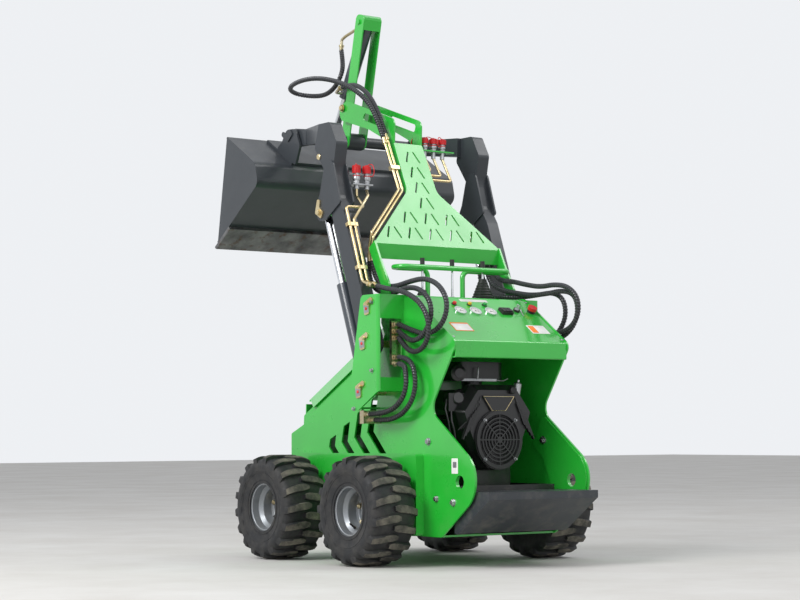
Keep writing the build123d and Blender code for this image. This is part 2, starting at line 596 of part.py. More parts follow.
tip_plate_rows = [
    (-105.1, 1841.3, 0), (-100, 1948, 40), (-478, 2080, 40), (-540, 2046, 38), (-520, 1994, 30),
    (-300, 1925, 80), (-190, 1872, 60), (-20, 1606, 0), (-7.5, 1610.5, 0), (-112.6, 1837.8, 0),
]
window_rows = [(-150, 1905, 12), (-140, 1938, 12), (-330, 2004, 12), (-350, 1975, 12)]
tip_plate = side_slab(tip_plate_rows, TIP_PLATE_X, TIP_PLATE_X + SHEET)
tip_plate -= side_slab(window_rows, TIP_PLATE_X - 1, TIP_PLATE_X + SHEET + 1)
tip_pin = x_rod(LINK_TIP, -TIP_PLATE_X - SHEET - 6, TIP_PLATE_X + SHEET + 6, 25)
link_tip = tip_plate + tip_pin + other_side(tip_plate)

# ---------------------------------------------------------------- tilt lever
lever_plane = along(HITCH_PIVOT, LEVER_TOP)
lever_length = math.dist(HITCH_PIVOT, LEVER_TOP)


def lever_rows(front, rear):
    """Outline in the lever's own view: across its depth (rear positive), and up its axis."""
    return [(-front, -34, 26), (rear, -34, 30), (rear, lever_length + 34, 24),
            (-front, lever_length + 34, 24)]


lever_view = Plane(origin=(0, *HITCH_PIVOT),
                   x_dir=(0, LEVER_TOP[1] - HITCH_PIVOT[1], HITCH_PIVOT[0] - LEVER_TOP[0]),
                   z_dir=(1, 0, 0))
flange = extrude(lever_view.offset(LEVER_HALF - LEVER_SHEET)
                 * outline(lever_rows(LEVER_FRONT, LEVER_REAR)), LEVER_SHEET)
web_rows = [(LEVER_REAR - LEVER_SHEET, lever_length - 34, 0), (LEVER_REAR, lever_length - 34, 0),
            (LEVER_REAR, lever_length + 14, 0), (LEVER_REAR - LEVER_SHEET, lever_length + 14, 0)]
web = extrude(lever_view.offset(-LEVER_HALF + LEVER_SHEET) * outline(web_rows),
              2 * (LEVER_HALF - LEVER_SHEET))
cap_rows = [(-LEVER_FRONT + 20, lever_length + 34, 0), (-LEVER_FRONT + 20, lever_length + 28, 0),
            (LEVER_REAR - 24, lever_length + 28, 10), (LEVER_REAR - 6, lever_length + 12, 4),
            (LEVER_REAR, lever_length + 12, 0), (LEVER_REAR - 2, lever_length + 26, 4),
            (LEVER_REAR - 20, lever_length + 34, 10)]
cap = extrude(lever_view.offset(-LEVER_HALF + LEVER_SHEET) * outline(cap_rows),
              2 * (LEVER_HALF - LEVER_SHEET))
lever = flange + other_side(flange) + web + cap
lever -= x_rod(HITCH_PIVOT, -LEVER_HALF - 1, LEVER_HALF + 1, CROSS_TUBE_D + 2)
lever -= x_rod(LINK_TIP, -LEVER_HALF - 1, LEVER_HALF + 1, 26)
lever += x_rod(LEVER_TOP, -LEVER_HALF - 8, LEVER_HALF + 8, TILT_PIN_D)
save("tilt_lever", lever)


# ---------------------------------------------------------------- cylinders
def barrel(start, end, x, outer, bore, rod, length, width, eye, pin):
    """Cylinder barrel from its base eye at start towards end, hollow for its rod."""
    plane = along(start, end)
    up = (Align.CENTER, Align.CENTER, Align.MIN)
    body = Pos(0, 0, eye / 2 - 3) * Cylinder(outer / 2, length - eye / 2 + 3, align=up)
    body -= Pos(0, 0, 42) * Cylinder(bore / 2, length - 58, align=up)
    body -= Pos(0, 0, 42) * Cylinder(rod / 2 + 0.5, length, align=up)
    body = plane * body
    body += x_rod(start, -width / 2, width / 2, eye)
    body -= x_rod(start, -width / 2 - 1, width / 2 + 1, pin + 1.2)
    return Pos(x, 0, 0) * body


def piston_rod(start, end, x, bore, rod, length, width, eye, pin):
    """Rod with its piston, and its eye at end."""
    plane = along(end, start)
    up = (Align.CENTER, Align.CENTER, Align.MIN)
    body = Pos(0, 0, eye / 2 - 4) * Cylinder(rod / 2, length - eye / 2 + 4, align=up)
    body += Pos(0, 0, length - 22) * Cylinder(bore / 2 - 0.5, 22, align=up)
    body = plane * body
    body += x_rod(end, -width / 2, width / 2, eye)
    body -= x_rod(end, -width / 2 - 1, width / 2 + 1, pin + 1.2)
    return Pos(x, 0, 0) * body


lift_barrel = barrel(LIFT_BASE, LIFT_EYE, LIFT_CYL_X, LIFT_BARREL_D, LIFT_BORE_D, LIFT_ROD_D,
                     LIFT_BARREL_LENGTH, EYE_WIDTH, EYE_D, PIN_D)
lift_rod = piston_rod(LIFT_BASE, LIFT_EYE, LIFT_CYL_X, LIFT_BORE_D, LIFT_ROD_D,
                      LIFT_ROD_LENGTH, EYE_WIDTH, EYE_D, PIN_D)
save("lift_barrel_left", lift_barrel)
save("lift_barrel_right", other_side(lift_barrel))
save("lift_rod_left", lift_rod)
save("lift_rod_right", other_side(lift_rod))
save("tilt_barrel", barrel(LEVER_TOP, TILT_EYE, 0, TILT_BARREL_D, TILT_BORE_D, TILT_ROD_D,
                           TILT_BARREL_LENGTH, TILT_EYE_WIDTH, TILT_EYE_D, TILT_PIN_D))
save("tilt_rod", piston_rod(LEVER_TOP, TILT_EYE, 0, TILT_BORE_D, TILT_ROD_D,
                            TILT_ROD_LENGTH, TILT_EYE_WIDTH, TILT_EYE_D, TILT_PIN_D))

# ---------------------------------------------------------------- bucket and hitch
BUCKET_TIP = (-747, 1905)
BUCKET_HEEL = (-505, 1759)
BUCKET_SOLE = (-483, 1664)
BUCKET_EDGE = (-827, 1424)
shell_rows = [(*BUCKET_TIP, 0), (*BUCKET_HEEL, 40), (*BUCKET_SOLE, 40), (*BUCKET_EDGE, 0)]
shell = side_slab(sheet_rows(shell_rows, -BUCKET_SHEET), -BUCKET_HALF, BUCKET_HALF)
cheek_rows = [(*BUCKET_TIP, 0), (*BUCKET_HEEL, 40), (*BUCKET_SOLE, 40), (*BUCKET_EDGE, 0)]
cheek = side_slab(cheek_rows, BUCKET_HALF - BUCKET_SHEET, BUCKET_HALF)
lip_rows = [(*BUCKET_TIP, 0), (BUCKET_TIP[0] + 51, BUCKET_TIP[1] - 31, 0),
            (BUCKET_TIP[0] + 43, BUCKET_TIP[1] - 45, 0), (BUCKET_TIP[0] - 2, BUCKET_TIP[1] - 18, 0)]
lip = side_slab(lip_rows, -BUCKET_HALF + 1, BUCKET_HALF - 1)
shell = shell + cheek + other_side(cheek) + lip
save("bucket", shell)

edge_dir = (BUCKET_SOLE[0] - BUCKET_EDGE[0], BUCKET_SOLE[1] - BUCKET_EDGE[1])
edge_len = math.hypot(*edge_dir)
edge_unit = (edge_dir[0] / edge_len, edge_dir[1] / edge_len)
edge_view = Plane(origin=(0, *BUCKET_EDGE), x_dir=(0, *edge_unit), z_dir=(1, 0, 0))
blade_rows = [(-30, -SEAT_GAP - 4, 0), (-24, -SEAT_GAP - 16, 0), (120, -SEAT_GAP - 16, 0),
              (120, -SEAT_GAP, 0), (-26, -SEAT_GAP, 0)]
blade = extrude(edge_view.offset(-BUCKET_HALF - 2) * outline(blade_rows), 2 * BUCKET_HALF + 4)
save("cutting_edge", blade)

back_dir = (BUCKET_TIP[0] - BUCKET_HEEL[0], BUCKET_TIP[1] - BUCKET_HEEL[1])
back_len = math.hypot(*back_dir)
back_unit = (back_dir[0] / back_len, back_dir[1] / back_len)
back_view = Plane(origin=(0, *BUCKET_HEEL), x_dir=(0, *back_unit), z_dir=(1, 0, 0))
HITCH_SHEET = 12
hitch_rows = [(16, -SEAT_GAP - HITCH_SHEET, 0), (262, -SEAT_GAP - HITCH_SHEET, 0),
              (262, -SEAT_GAP, 0), (16, -SEAT_GAP, 0)]
hitch = extrude(back_view.offset(-EAR_X - EAR_SHEET) * outline(hitch_rows),
                2 * (EAR_X + EAR_SHEET))
ear_rows = [
    (-489, 1762, 10), (-450, 1846, 26), (-489, 1928, 30), (-560, 1932, 34), (-600, 1880, 26),
    (-646, 1853, 10),
]
ear = side_slab(ear_rows, EAR_X, EAR_X + EAR_SHEET)
ear += x_rod(HITCH_PIVOT, TIP_INNER_X + 1, EAR_X + EAR_SHEET + 4, PIN_D)
ear += pin_head(HITCH_PIVOT, EAR_X + EAR_SHEET, 130)
clevis_rows = [(-640, 1856, 0), (-664, 1925, 24), (-706, 1956, 30), (-738, 1930, 24),
               (-733, 1912, 0)]
for x0 in (TILT_EYE_WIDTH / 2 + RUN_GAP, ):
    clevis = side_slab(clevis_rows, x0, x0 + EAR_SHEET)
hitch = hitch + ear + other_side(ear) + clevis + other_side(clevis)
save("hitch", hitch)

# ---------------------------------------------------------------- hydraulic lines
PIPE_D = 12
HOSE_D = 20
CORD_RUNS = 0.45           # share of the shorter run that a hose's arc may use


def tube_along(points, diameter, radii):
    """Round tube along straight runs joined by tangent arcs."""
    path = FilletPolyline(*points, radius=radii)
    return sweep(Plane(origin=path @ 0, z_dir=path % 0) * Circle(diameter / 2), path=path), path


def hose(name, points, ends):
    """Saves one hose, seated on its two end fittings; every bend is as wide as its runs allow."""
    radii = []
    for a, b, c in zip(points, points[1:], points[2:]):
        before = Vector(*b) - Vector(*a)
        after = Vector(*c) - Vector(*b)
        half = math.radians(before.get_angle(after)) / 2
        radii.append(CORD_RUNS * min(before.length, after.length) / math.tan(half))
    tube, path = tube_along(points, HOSE_D, radii)
    ideal = math.pi * HOSE_D ** 2 / 4 * path.length
    print(name, "length", round(path.length), "radii", [round(r) for r in radii],
          "volume ratio", round(tube.volume / ideal, 4))
    save(name, max((tube - ends).solids(), key=lambda piece: piece.volume))


def plate_spot(across, along_up, out):
    """Point by its place across and up the link plate, and its distance behind the plate."""
    rise = ((PLATE_HEAD[0] - PLATE_SKIRT[0]) / head_up, (PLATE_HEAD[1] - PLATE_SKIRT[1]) / head_up)
    return (across, PLATE_SKIRT[0] + rise[0] * along_up + rise[1] * out,
            PLATE_SKIRT[1] + rise[1] * along_up - rise[0] * out)


def ferrule(spot, direction, length=34, diameter=19):
    """Crimped end that grips a hose, starting at spot."""
    plane = Plane(origin=spot, z_dir=direction)
    body = plane * Cylinder(diameter / 2, length, align=up)
    return body + plane * Cylinder(diameter / 2 + 3, length * 0.4, align=up)


def coupler(spot, height):
    """Flat-face quick coupler standing on a bracket, with its dust cap."""
    body = Pos(*spot) * Cylinder(12, height, align=up)
    body += Pos(spot[0], spot[1], spot[2] + height * 0.2) * Cylinder(15, height * 0.3, align=up)
    return body + Pos(spot[0], spot[1], spot[2] + height * 0.62) * Cylinder(17, height * 0.38, align=up)


# Lines on the lift arm: coupler bracket inside the elbow, two pipes down the rear face.
BRACKET_Z = 1628
arm_lines = [box(248, ARM_INNER_X - 8 - SEAT_GAP, -92, -24, BRACKET_Z, BRACKET_Z + 6)]
arm_run = ((209 - 5) / 590.4, (945 - 1499) / 590.4)


def arm_rear(across, down, off):
    """Point behind the arm's rear face, by its distance down that face."""
    return (across, 5 + arm_run[0] * down - arm_run[1] * off, 1499 + arm_run[1] * down + arm_run[0] * off)


# Columns: coupler's place across, pipe's place across, its way round the elbow to the rear face.
for coupler_x, pipe_x, elbow in (
        (322, 416, [(322, -45, 1580), (322, 10.5, 1526.7), arm_rear(416, -22, 14)]),
        (268, 390, [(268, -45, 1604), (296, 5, 1580), (345, 30, 1530), arm_rear(390, 40, 14)])):
    arm_lines.append(coupler((coupler_x, -45, BRACKET_Z + 6 + SEAT_GAP), 78))
    points = [(coupler_x, -45, BRACKET_Z - SEAT_GAP), *elbow,
              arm_rear(pipe_x, 330, 14), (pipe_x, 176, 1180)]
    pipe, _ = tube_along(points, PIPE_D, [14] * len(elbow) + [24])
    nut = Pos(coupler_x, -45, BRACKET_Z - 16) * Cylinder(11, 16 - SEAT_GAP, align=up)
    end_dir = (0, points[-1][1] - points[-2][1], points[-1][2] - points[-2][2])
    arm_lines.append(pipe + nut + ferrule(points[-1], end_dir, 30))
for down in (62, 265):
    middle = arm_rear(403, down, 10)
    clamp = Plane(origin=middle, x_dir=(1, 0, 0), z_dir=(0, *arm_run)) * Box(52, 19, 16)
    for pipe_x in (416, 390):
        spot = arm_rear(pipe_x, down, 14)
        clamp -= Plane(origin=spot, x_dir=(1, 0, 0), z_dir=(0, *arm_run)) * Cylinder(PIPE_D / 2 + 0.2, 30)
    arm_lines.append(clamp)
save("arm_lines", *arm_lines)

# Lines on the upper link: two pipes on its left edge, three coupler lines on its right.
link_lines = []
# Columns: across at the head, height of the top end, then the foot's across, up and y.
for x, top_up, neck, foot_up, foot_y in ((100, 547, 285, 35, 84), (120, 527, 288, 59, 58)):
    points = [plate_spot(x, top_up, -10), plate_spot(x, neck, -10), plate_spot(334, foot_up, -10),
              (328, foot_y, 1350), (328, foot_y, 1318)]
    pipe, _ = tube_along(points, PIPE_D, [24, 12, 8])
    head_dir = tuple(b - a for a, b in zip(points[1], points[0]))
    pipe += ferrule(points[0], head_dir, 32, 15)
    pipe += Pos(328, foot_y, 1288) * Cylinder(9.5, 32, align=up)
    link_lines.append(pipe)
clamp = Plane(origin=plate_spot(109, 400, -10), x_dir=(1, 0, 0), z_dir=plate_plane.y_dir) * Box(46, 22, 18)
for x in (100, 120):
    clamp -= Plane(origin=plate_spot(x, 400, -10), x_dir=(1, 0, 0),
                   z_dir=plate_plane.y_dir) * Cylinder(PIPE_D / 2 + 0.2, 30)
link_lines.append(clamp)
bracket = box(-262, -TIP_PLATE_X - SHEET - SEAT_GAP, -150, -107, 1818, 1824)
link_lines.append(bracket)
for i, (x, inner, turn_up) in enumerate(((-107, -28, 412), (-157, -44, 388), (-207, -60, 364))):
    spot = (x, -125, 1818)
    link_lines.append(coupler((x, -125, 1824 + SEAT_GAP), 52))
    first = plate_spot(x, turn_up, -26)
    foot_x = -274 - 22 * i
    points = [(x, -125, 1818 - SEAT_GAP), (x, -125, 1790), first,
              plate_spot(inner, turn_up, -26), plate_spot(inner, 268 + 17 * (i - 1), -26),
              plate_spot(foot_x, 2 + 14 * i, -26), (foot_x, 88, 1338)]
    link_tip -= tube_along(points, PIPE_D + 6, [10, 14, 14, 20, 10])[0]
    pipe, _ = tube_along(points, PIPE_D, [10, 14, 14, 20, 10])
    nut = Pos(x, -125, 1788) * Cylinder(10, 30 - SEAT_GAP, align=up)
    pipe += nut
    link_lines.append(pipe + ferrule(points[-1], (0, points[-1][1] - points[-2][1],
                                                   points[-1][2] - points[-2][2]), 20, 15))
save("link_lines", *link_lines)
save("link_tip", link_tip)

# Ports in the tower windows and below the towers.
PORT_X = 334
port_left = box(SIDE_X + SEAT_GAP, 350, 236, 252, 836, 1020)
PORTS_Z = (1006, 978, 950, 868, 840)
for z in PORTS_Z:
    port_left += ferrule((PORT_X, 252, z), (0, 1, 0), 28)
port_right = box(-350, -SIDE_X - SEAT_GAP, 236, 252, 936, 1020)
for z in PORTS_Z[:3]:
    port_right += ferrule((-PORT_X, 252, z), (0, 1, 0), 28)
tee = box(SIDE_X + SEAT_GAP, 398, 84, 112, 590, 646)
for x, z in ((358, 606), (384, 630)):
    tee += ferrule((x, 112, z), (0, 1, 0), 28)
save("hose_ports", port_left, port_right, tee)

# Elbows on the tilt barrel: one at its base end, one at its rod end.
run = ((TILT_EYE[0] - LEVER_TOP[0]) / math.dist(TILT_EYE, LEVER_TOP),
       (TILT_EYE[1] - LEVER_TOP[1]) / math.dist(TILT_EYE, LEVER_TOP))


def barrel_spot(across, down, ahead):
    """Point by its distance down the tilt barrel's axis and ahead of it."""
    return (across, LEVER_TOP[0] + run[0] * down + run[1] * ahead,
            LEVER_TOP[1] + run[1] * down - run[0] * ahead)


base_points = [barrel_spot(0, 46, TILT_BARREL_D / 2 + SEAT_GAP), barrel_spot(0, 46, 60), (8, -585, 2404),
               (10, -612, 2392), (10, -614, 2368)]
base_elbow, _ = tube_along(base_points, 14, [6, 16, 10])
base_elbow += ferrule((10, -614, 2368), (0, -2, -24), 24)
rod_points = [barrel_spot(TILT_BARREL_D / 2 + SEAT_GAP, 352, 0), barrel_spot(60, 352, 0),
              (66, -548, 2148)]
rod_elbow, _ = tube_along(rod_points, 14, [8])
rod_elbow += ferrule((66, -548, 2148), (0, 40, 4), 24)
save("tilt_ports", base_elbow, rod_elbow)

# Hoses: each row is a point of its route, (x, y, z), from its first ferrule to its last.
HOSES = {
    "hose_tilt_base": [
        (10, -616, 2344), (14, -600, 2296), (34, -570, 2242), (52, -572, 2192), (48, -630, 2155),
        (40, -715, 2140), (52, -800, 2146), (105, -850, 2158), (165, -825, 2170),
        (198, -750, 2182), (200, -650, 2190), (190, -550, 2185), (172, -440, 2160),
        (150, -330, 2115), (130, -235, 2045), (122, -172, 1958), (120, -126.7, 1863.7),
    ],
    "hose_tilt_rod": [
        (66, -524.1, 2150.4), (68, -462, 2152), (78, -385, 2138), (88, -300, 2095),
        (97, -228, 2032), (100, -176, 1958), (100, -135.2, 1881.8),
    ],
    "hose_left_1": [
        (328, 84, 1288), (327, 90, 1225), (321, 145, 1176), (317, 235, 1168), (316, 335, 1184),
        (316, 440, 1192), (317, 535, 1162), (321, 598, 1100), (325, 600, 1030), (328, 550, 975),
        (331, 470, 955), (333, 380, 975), (334, 280, 1006),
    ],
    "hose_left_2": [
        (328, 58, 1288), (327, 52, 1222), (322, 90, 1165), (318, 165, 1143), (322, 255, 1144),
        (338, 345, 1158), (346, 440, 1148), (351, 520, 1100), (354, 540, 1030), (355, 500, 965),
        (352, 430, 930), (342, 350, 940), (334, 280, 978),
    ],
    "hose_left_3": [
        (390, 204.5, 1170.7), (390, 262, 1156), (388, 345, 1146), (388, 440, 1120),
        (386, 520, 1070), (384, 560, 1000), (378, 545, 930), (368, 480, 888), (354, 400, 885),
        (342, 335, 910), (334, 280, 950),
    ],
    "hose_lower_1": [
        (334, 280, 868), (335, 340, 864), (340, 395, 822), (346, 415, 755), (350, 400, 690),
        (354, 345, 635), (357, 265, 608), (358, 200, 604), (358, 140, 606),
    ],
    "hose_lower_2": [
        (334, 280, 840), (341, 328, 836), (362, 368, 800), (372, 384, 744), (378, 365, 692),
        (382, 310, 650), (384, 225, 632), (384, 140, 630),
    ],
    "hose_right_1": [
        (-318, 90.1, 1318.1), (-318, 98, 1262), (-318, 155, 1224), (-319, 235, 1216),
        (-321, 325, 1196), (-324, 420, 1180), (-327, 515, 1186), (-329, 600, 1172),
        (-331, 660, 1122), (-332, 664, 1050), (-333, 610, 992), (-334, 525, 975),
        (-334, 435, 981), (-334, 355, 998), (-334, 280, 1006),
    ],
    "hose_right_2": [
        (-296, 86.8, 1318), (-296, 84, 1262), (-298, 116, 1208), (-305, 185, 1178),
        (-316, 265, 1162), (-332, 350, 1148), (-346, 440, 1150), (-354, 530, 1160),
        (-357, 605, 1142), (-358, 632, 1080), (-356, 610, 1010), (-352, 550, 962),
        (-346, 470, 942), (-339, 380, 950), (-334, 280, 978),
    ],
    "hose_right_3": [
        (-274, 78.8, 1320.2), (-275, 56, 1262), (-279, 70, 1200), (-288, 120, 1160),
        (-300, 195, 1146), (-338, 278, 1143), (-362, 360, 1150), (-376, 440, 1158),
        (-381, 505, 1130), (-382, 525, 1065), (-378, 500, 1000), (-368, 440, 950),
        (-352, 360, 930), (-334, 280, 950),
    ],
}
fittings = Compound([port_left, port_right, tee, base_elbow, rod_elbow, *link_lines, *arm_lines])
for hose_name, route in HOSES.items():
    hose(hose_name, route, fittings)
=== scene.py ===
"""Looks of the stand-on loader: finishes, hoses, tyre tread, bolts, caps, labels, light and camera."""
import json
import math

import bmesh
import bpy
from mathutils import Matrix, Vector


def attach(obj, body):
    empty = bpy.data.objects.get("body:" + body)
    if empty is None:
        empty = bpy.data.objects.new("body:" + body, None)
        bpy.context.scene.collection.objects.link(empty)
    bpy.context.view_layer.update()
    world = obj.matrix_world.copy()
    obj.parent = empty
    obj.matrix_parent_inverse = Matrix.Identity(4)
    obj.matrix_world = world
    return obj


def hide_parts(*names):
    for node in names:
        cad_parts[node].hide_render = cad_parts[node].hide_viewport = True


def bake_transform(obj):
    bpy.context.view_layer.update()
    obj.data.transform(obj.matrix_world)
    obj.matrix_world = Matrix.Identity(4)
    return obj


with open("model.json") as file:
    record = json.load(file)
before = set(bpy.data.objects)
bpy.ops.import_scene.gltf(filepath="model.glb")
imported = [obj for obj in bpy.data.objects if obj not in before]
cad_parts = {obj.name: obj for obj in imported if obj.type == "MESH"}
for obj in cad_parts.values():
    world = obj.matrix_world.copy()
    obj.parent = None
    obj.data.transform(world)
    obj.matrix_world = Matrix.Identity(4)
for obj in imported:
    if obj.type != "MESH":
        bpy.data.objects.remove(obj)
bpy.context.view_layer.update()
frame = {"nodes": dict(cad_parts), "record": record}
NODES = frame["nodes"]

MM = 0.001                 # lengths in capitals are in millimetres unless a comment says metres
SIDE_X = 305               # outer face of the chassis side plates
TOWER_X = 437              # outer face of the arm towers
PIN_FACE_X = 443.2         # outer face of the tower pins' retainers
TOWER_PINS = ((196, 1073), (163, 927), (134, 724))
TYRE_R = 228.5
WHEEL_X = 476.5            # middle of a tyre across the machine
AXLES_Y = {"front": -415.5, "rear": 245.5}
HOSE_D = 21


def at(x, y, z):
    """A point given in millimetres, in metres."""
    return Vector((x, y, z)) * MM


# ---------------------------------------------------------------- node material kit
class Nodes:
    """Short calls for building one material's node tree."""

    def __init__(self, name):
        self.material = bpy.data.materials.new(name)
        self.material.use_nodes = True
        self.tree = self.material.node_tree
        self.shader = self.tree.nodes["Principled BSDF"]
        self.place = self.add("ShaderNodeTexCoord").outputs["Object"]

    def add(self, kind, **values):
        node = self.tree.nodes.new(kind)
        for key, value in values.items():
            setattr(node, key, value)
        return node

    def link(self, source, target):
        self.tree.links.new(source, target)

    def noise(self, scale, detail=5.0, roughness=0.55, stretch=None):
        node = self.add("ShaderNodeTexNoise")
        node.inputs["Scale"].default_value = scale
        node.inputs["Detail"].default_value = detail
        node.inputs["Roughness"].default_value = roughness
        source = self.place
        if stretch:
            mapping = self.add("ShaderNodeMapping")
            mapping.inputs["Scale"].default_value = stretch
            self.link(self.place, mapping.inputs["Vector"])
            source = mapping.outputs["Vector"]
        self.link(source, node.inputs["Vector"])
        return node.outputs["Fac"]

    def spread(self, source, low, high, to_low=0.0, to_high=1.0):
        node = self.add("ShaderNodeMapRange")
        for key, value in (("From Min", low), ("From Max", high), ("To Min", to_low), ("To Max", to_high)):
            node.inputs[key].default_value = value
        self.link(source, node.inputs["Value"])
        return node.outputs["Result"]

    def maths(self, operation, first, second):
        node = self.add("ShaderNodeMath", operation=operation)
        for socket, value in zip(node.inputs, (first, second)):
            if isinstance(value, (int, float)):
                socket.default_value = value
            else:
                self.link(value, socket)
        return node.outputs["Value"]

    def mix(self, factor, first, second):
        node = self.add("ShaderNodeMix", data_type="RGBA")
        self.link(factor, node.inputs["Factor"])
        for socket, value in ((node.inputs[6], first), (node.inputs[7], second)):
            if isinstance(value, tuple):
                socket.default_value = (*value, 1.0)
            else:
                self.link(value, socket)
        return node.outputs[2]

    def facing_up(self, low=0.3, high=1.0):
        normal = self.add("ShaderNodeNewGeometry").outputs["Normal"]
        split = self.add("ShaderNodeSeparateXYZ")
        self.link(normal, split.inputs["Vector"])
        return self.spread(split.outputs["Z"], low, high)

    def height(self, low, high):
        split = self.add("ShaderNodeSeparateXYZ")
        self.link(self.place, split.inputs["Vector"])
        return self.spread(split.outputs["Z"], low, high)

    def bump(self, source, strength, distance):
        node = self.add("ShaderNodeBump")
        node.inputs["Strength"].default_value = strength
        node.inputs["Distance"].default_value = distance
        self.link(source, node.inputs["Height"])
        self.link(node.outputs["Normal"], self.shader.inputs["Normal"])

    def set(self, **values):
        for key, value in values.items():
            self.shader.inputs[key.replace("_", " ")].default_value = value


def shade(color, factor):
    return tuple(channel * factor for channel in color)


def paint(name, color, roughness=0.35, coat=0.5, dust=0.12, dirt_to=0.45, peel=0.06, metal=0.0):
    """Sprayed paint: cloudy tone, orange peel, dust on what faces up, splashes low down."""
    m = Nodes(name)
    cloud = m.noise(3.0, 6.0)
    tone = m.mix(m.spread(cloud, 0.3, 0.7), shade(color, 0.9), shade(color, 1.07))
    specks = m.spread(m.noise(38.0, 7.0, 0.7), 0.55, 0.8)
    dusty = m.maths("MULTIPLY", m.maths("MULTIPLY", m.facing_up(), specks), dust * 4)
    splash = m.maths("MULTIPLY", m.height(dirt_to, 0.1), m.spread(m.noise(14.0, 8.0, 0.65), 0.48, 0.72))
    dirty = m.maths("MINIMUM", m.maths("ADD", dusty, m.maths("MULTIPLY", splash, dust * 3)), 0.7)
    m.link(m.mix(dirty, tone, (0.30, 0.27, 0.22)), m.shader.inputs["Base Color"])
    rough = m.maths("ADD", m.spread(m.noise(9.0), 0.3, 0.7, roughness - 0.05, roughness + 0.08),
                    m.maths("MULTIPLY", dirty, 0.5))
    m.link(rough, m.shader.inputs["Roughness"])
    m.bump(m.noise(420.0, 2.0), peel, 0.0006)
    m.set(Metallic=metal, Coat_Weight=coat, Coat_Roughness=0.12)
    return m.material


def metal(name, dark, light, roughness, scratch=(1, 1, 1), grain=120.0, strength=0.08, stain=None):
    """Bare or plated metal with a grain that follows the scratch stretch."""
    m = Nodes(name)
    streak = m.noise(grain, 6.0, 0.6, scratch)
    cloud = m.noise(11.0, 5.0)
    tone = m.mix(m.spread(cloud, 0.35, 0.68), dark, light)
    if stain:
        tone = m.mix(m.spread(m.noise(24.0, 6.0), 0.55, 0.72), tone, stain)
    m.link(tone, m.shader.inputs["Base Color"])
    m.link(m.spread(streak, 0.3, 0.7, roughness - 0.08, roughness + 0.1), m.shader.inputs["Roughness"])
    m.bump(streak, strength, 0.0004)
    m.set(Metallic=1.0)
    return m.material


def matt(name, color, roughness=0.6, grain=260.0, strength=0.2, dust=0.2, dust_color=(0.28, 0.25, 0.21)):
    """Plastic or rubber with a fine grain and dry dust."""
    m = Nodes(name)
    tone = m.mix(m.spread(m.noise(7.0), 0.3, 0.7), shade(color, 0.8), shade(color, 1.25))
    patches = m.maths("MULTIPLY", m.spread(m.noise(17.0, 8.0, 0.7), 0.42, 0.75), dust)
    m.link(m.mix(patches, tone, dust_color), m.shader.inputs["Base Color"])
    m.link(m.spread(m.noise(30.0), 0.3, 0.7, roughness - 0.08, roughness + 0.1),
           m.shader.inputs["Roughness"])
    m.bump(m.noise(grain, 3.0), strength, 0.0005)
    return m.material


GREEN = (0.022, 0.50, 0.040)
CHARCOAL = (0.030, 0.036, 0.043)
LOOKS = {
    "green": paint("green_paint_look", GREEN, 0.3, 1.0, 0.04),
    "charcoal": paint("charcoal_paint_look", CHARCOAL, 0.42, 0.25, 0.12),
    "slate": paint("slate_paint_look", (0.045, 0.055, 0.068), 0.3, 0.5, 0.08),
    "silver": paint("silver_paint_look", (0.30, 0.32, 0.34), 0.4, 0.3, 0.12, metal=0.55),
    "engine": paint("engine_black_look", (0.013, 0.013, 0.014), 0.38, 0.3, 0.1, peel=0.25),
    "chrome": metal("chrome_look", (0.62, 0.64, 0.67), (0.78, 0.79, 0.81), 0.13, (1, 1, 12), 60.0, 0.03),
    "steel": metal("steel_look", (0.34, 0.35, 0.36), (0.55, 0.56, 0.57), 0.36, (1, 1, 1), 160.0, 0.1),
    "worn": metal("worn_steel_look", (0.10, 0.10, 0.105), (0.26, 0.26, 0.26), 0.45, (12, 1, 1), 40.0, 0.2,
                  (0.12, 0.075, 0.05)),
    "gold": metal("gold_zinc_look", (0.60, 0.46, 0.23), (0.80, 0.69, 0.44), 0.3, (1, 1, 1), 140.0, 0.03),
    "plated": metal("plated_look", (0.52, 0.44, 0.26), (0.74, 0.70, 0.58), 0.3, (1, 1, 1), 140.0, 0.08),
    "plastic": matt("black_plastic_look", (0.012, 0.012, 0.013), 0.45, 300.0, 0.15, 0.1),
    # Hose rubber: the grey-blue tone is partly the rubber's own colour and partly a painted highlight on
    # the guard's strip.
    "rubber": matt("hose_rubber_and_painted_highlight_look", (0.040, 0.043, 0.050), 0.30, 240.0, 0.1, 0.05),
    # Near-black copy of the hose rubber for the spiral's grooves: painted shade down in the grooves.
    "groove": matt("hose_groove_painted_shade_look", (0.006, 0.006, 0.006), 0.7, 240.0, 0.1, 0.02),
    "tyre": matt("tyre_rubber_look", (0.012, 0.013, 0.015), 0.62, 180.0, 0.35, 0.13),
    "lug": matt("lug_top_look", (0.060, 0.057, 0.050), 0.9, 180.0, 0.5, 0.9, (0.28, 0.25, 0.20)),
    "red": matt("red_plastic_look", (0.62, 0.012, 0.015), 0.38, 200.0, 0.08, 0.05),
    "yellow": matt("yellow_plastic_look", (0.80, 0.52, 0.02), 0.4, 200.0, 0.08, 0.05),
    "white": matt("white_label_look", (0.80, 0.80, 0.77), 0.5, 200.0, 0.05, 0.06),
    "orange": matt("orange_label_look", (0.85, 0.22, 0.03), 0.5, 200.0, 0.05, 0.06),
    "lens": matt("green_lens_look", (0.02, 0.35, 0.06), 0.25, 200.0, 0.05, 0.02),
}
SLOTS = {
    "green": "green_paint", "charcoal": "charcoal_paint", "slate": "cylinder_slate",
    "silver": "rim_silver", "engine": "black_parts", "chrome": "chrome_rod", "steel": "bare_steel",
    "worn": "worn_steel", "gold": "gold_zinc", "plated": "plated_fittings", "plastic": "black_plastic",
    "rubber": "hose_rubber", "tyre": "tyre_rubber",
}


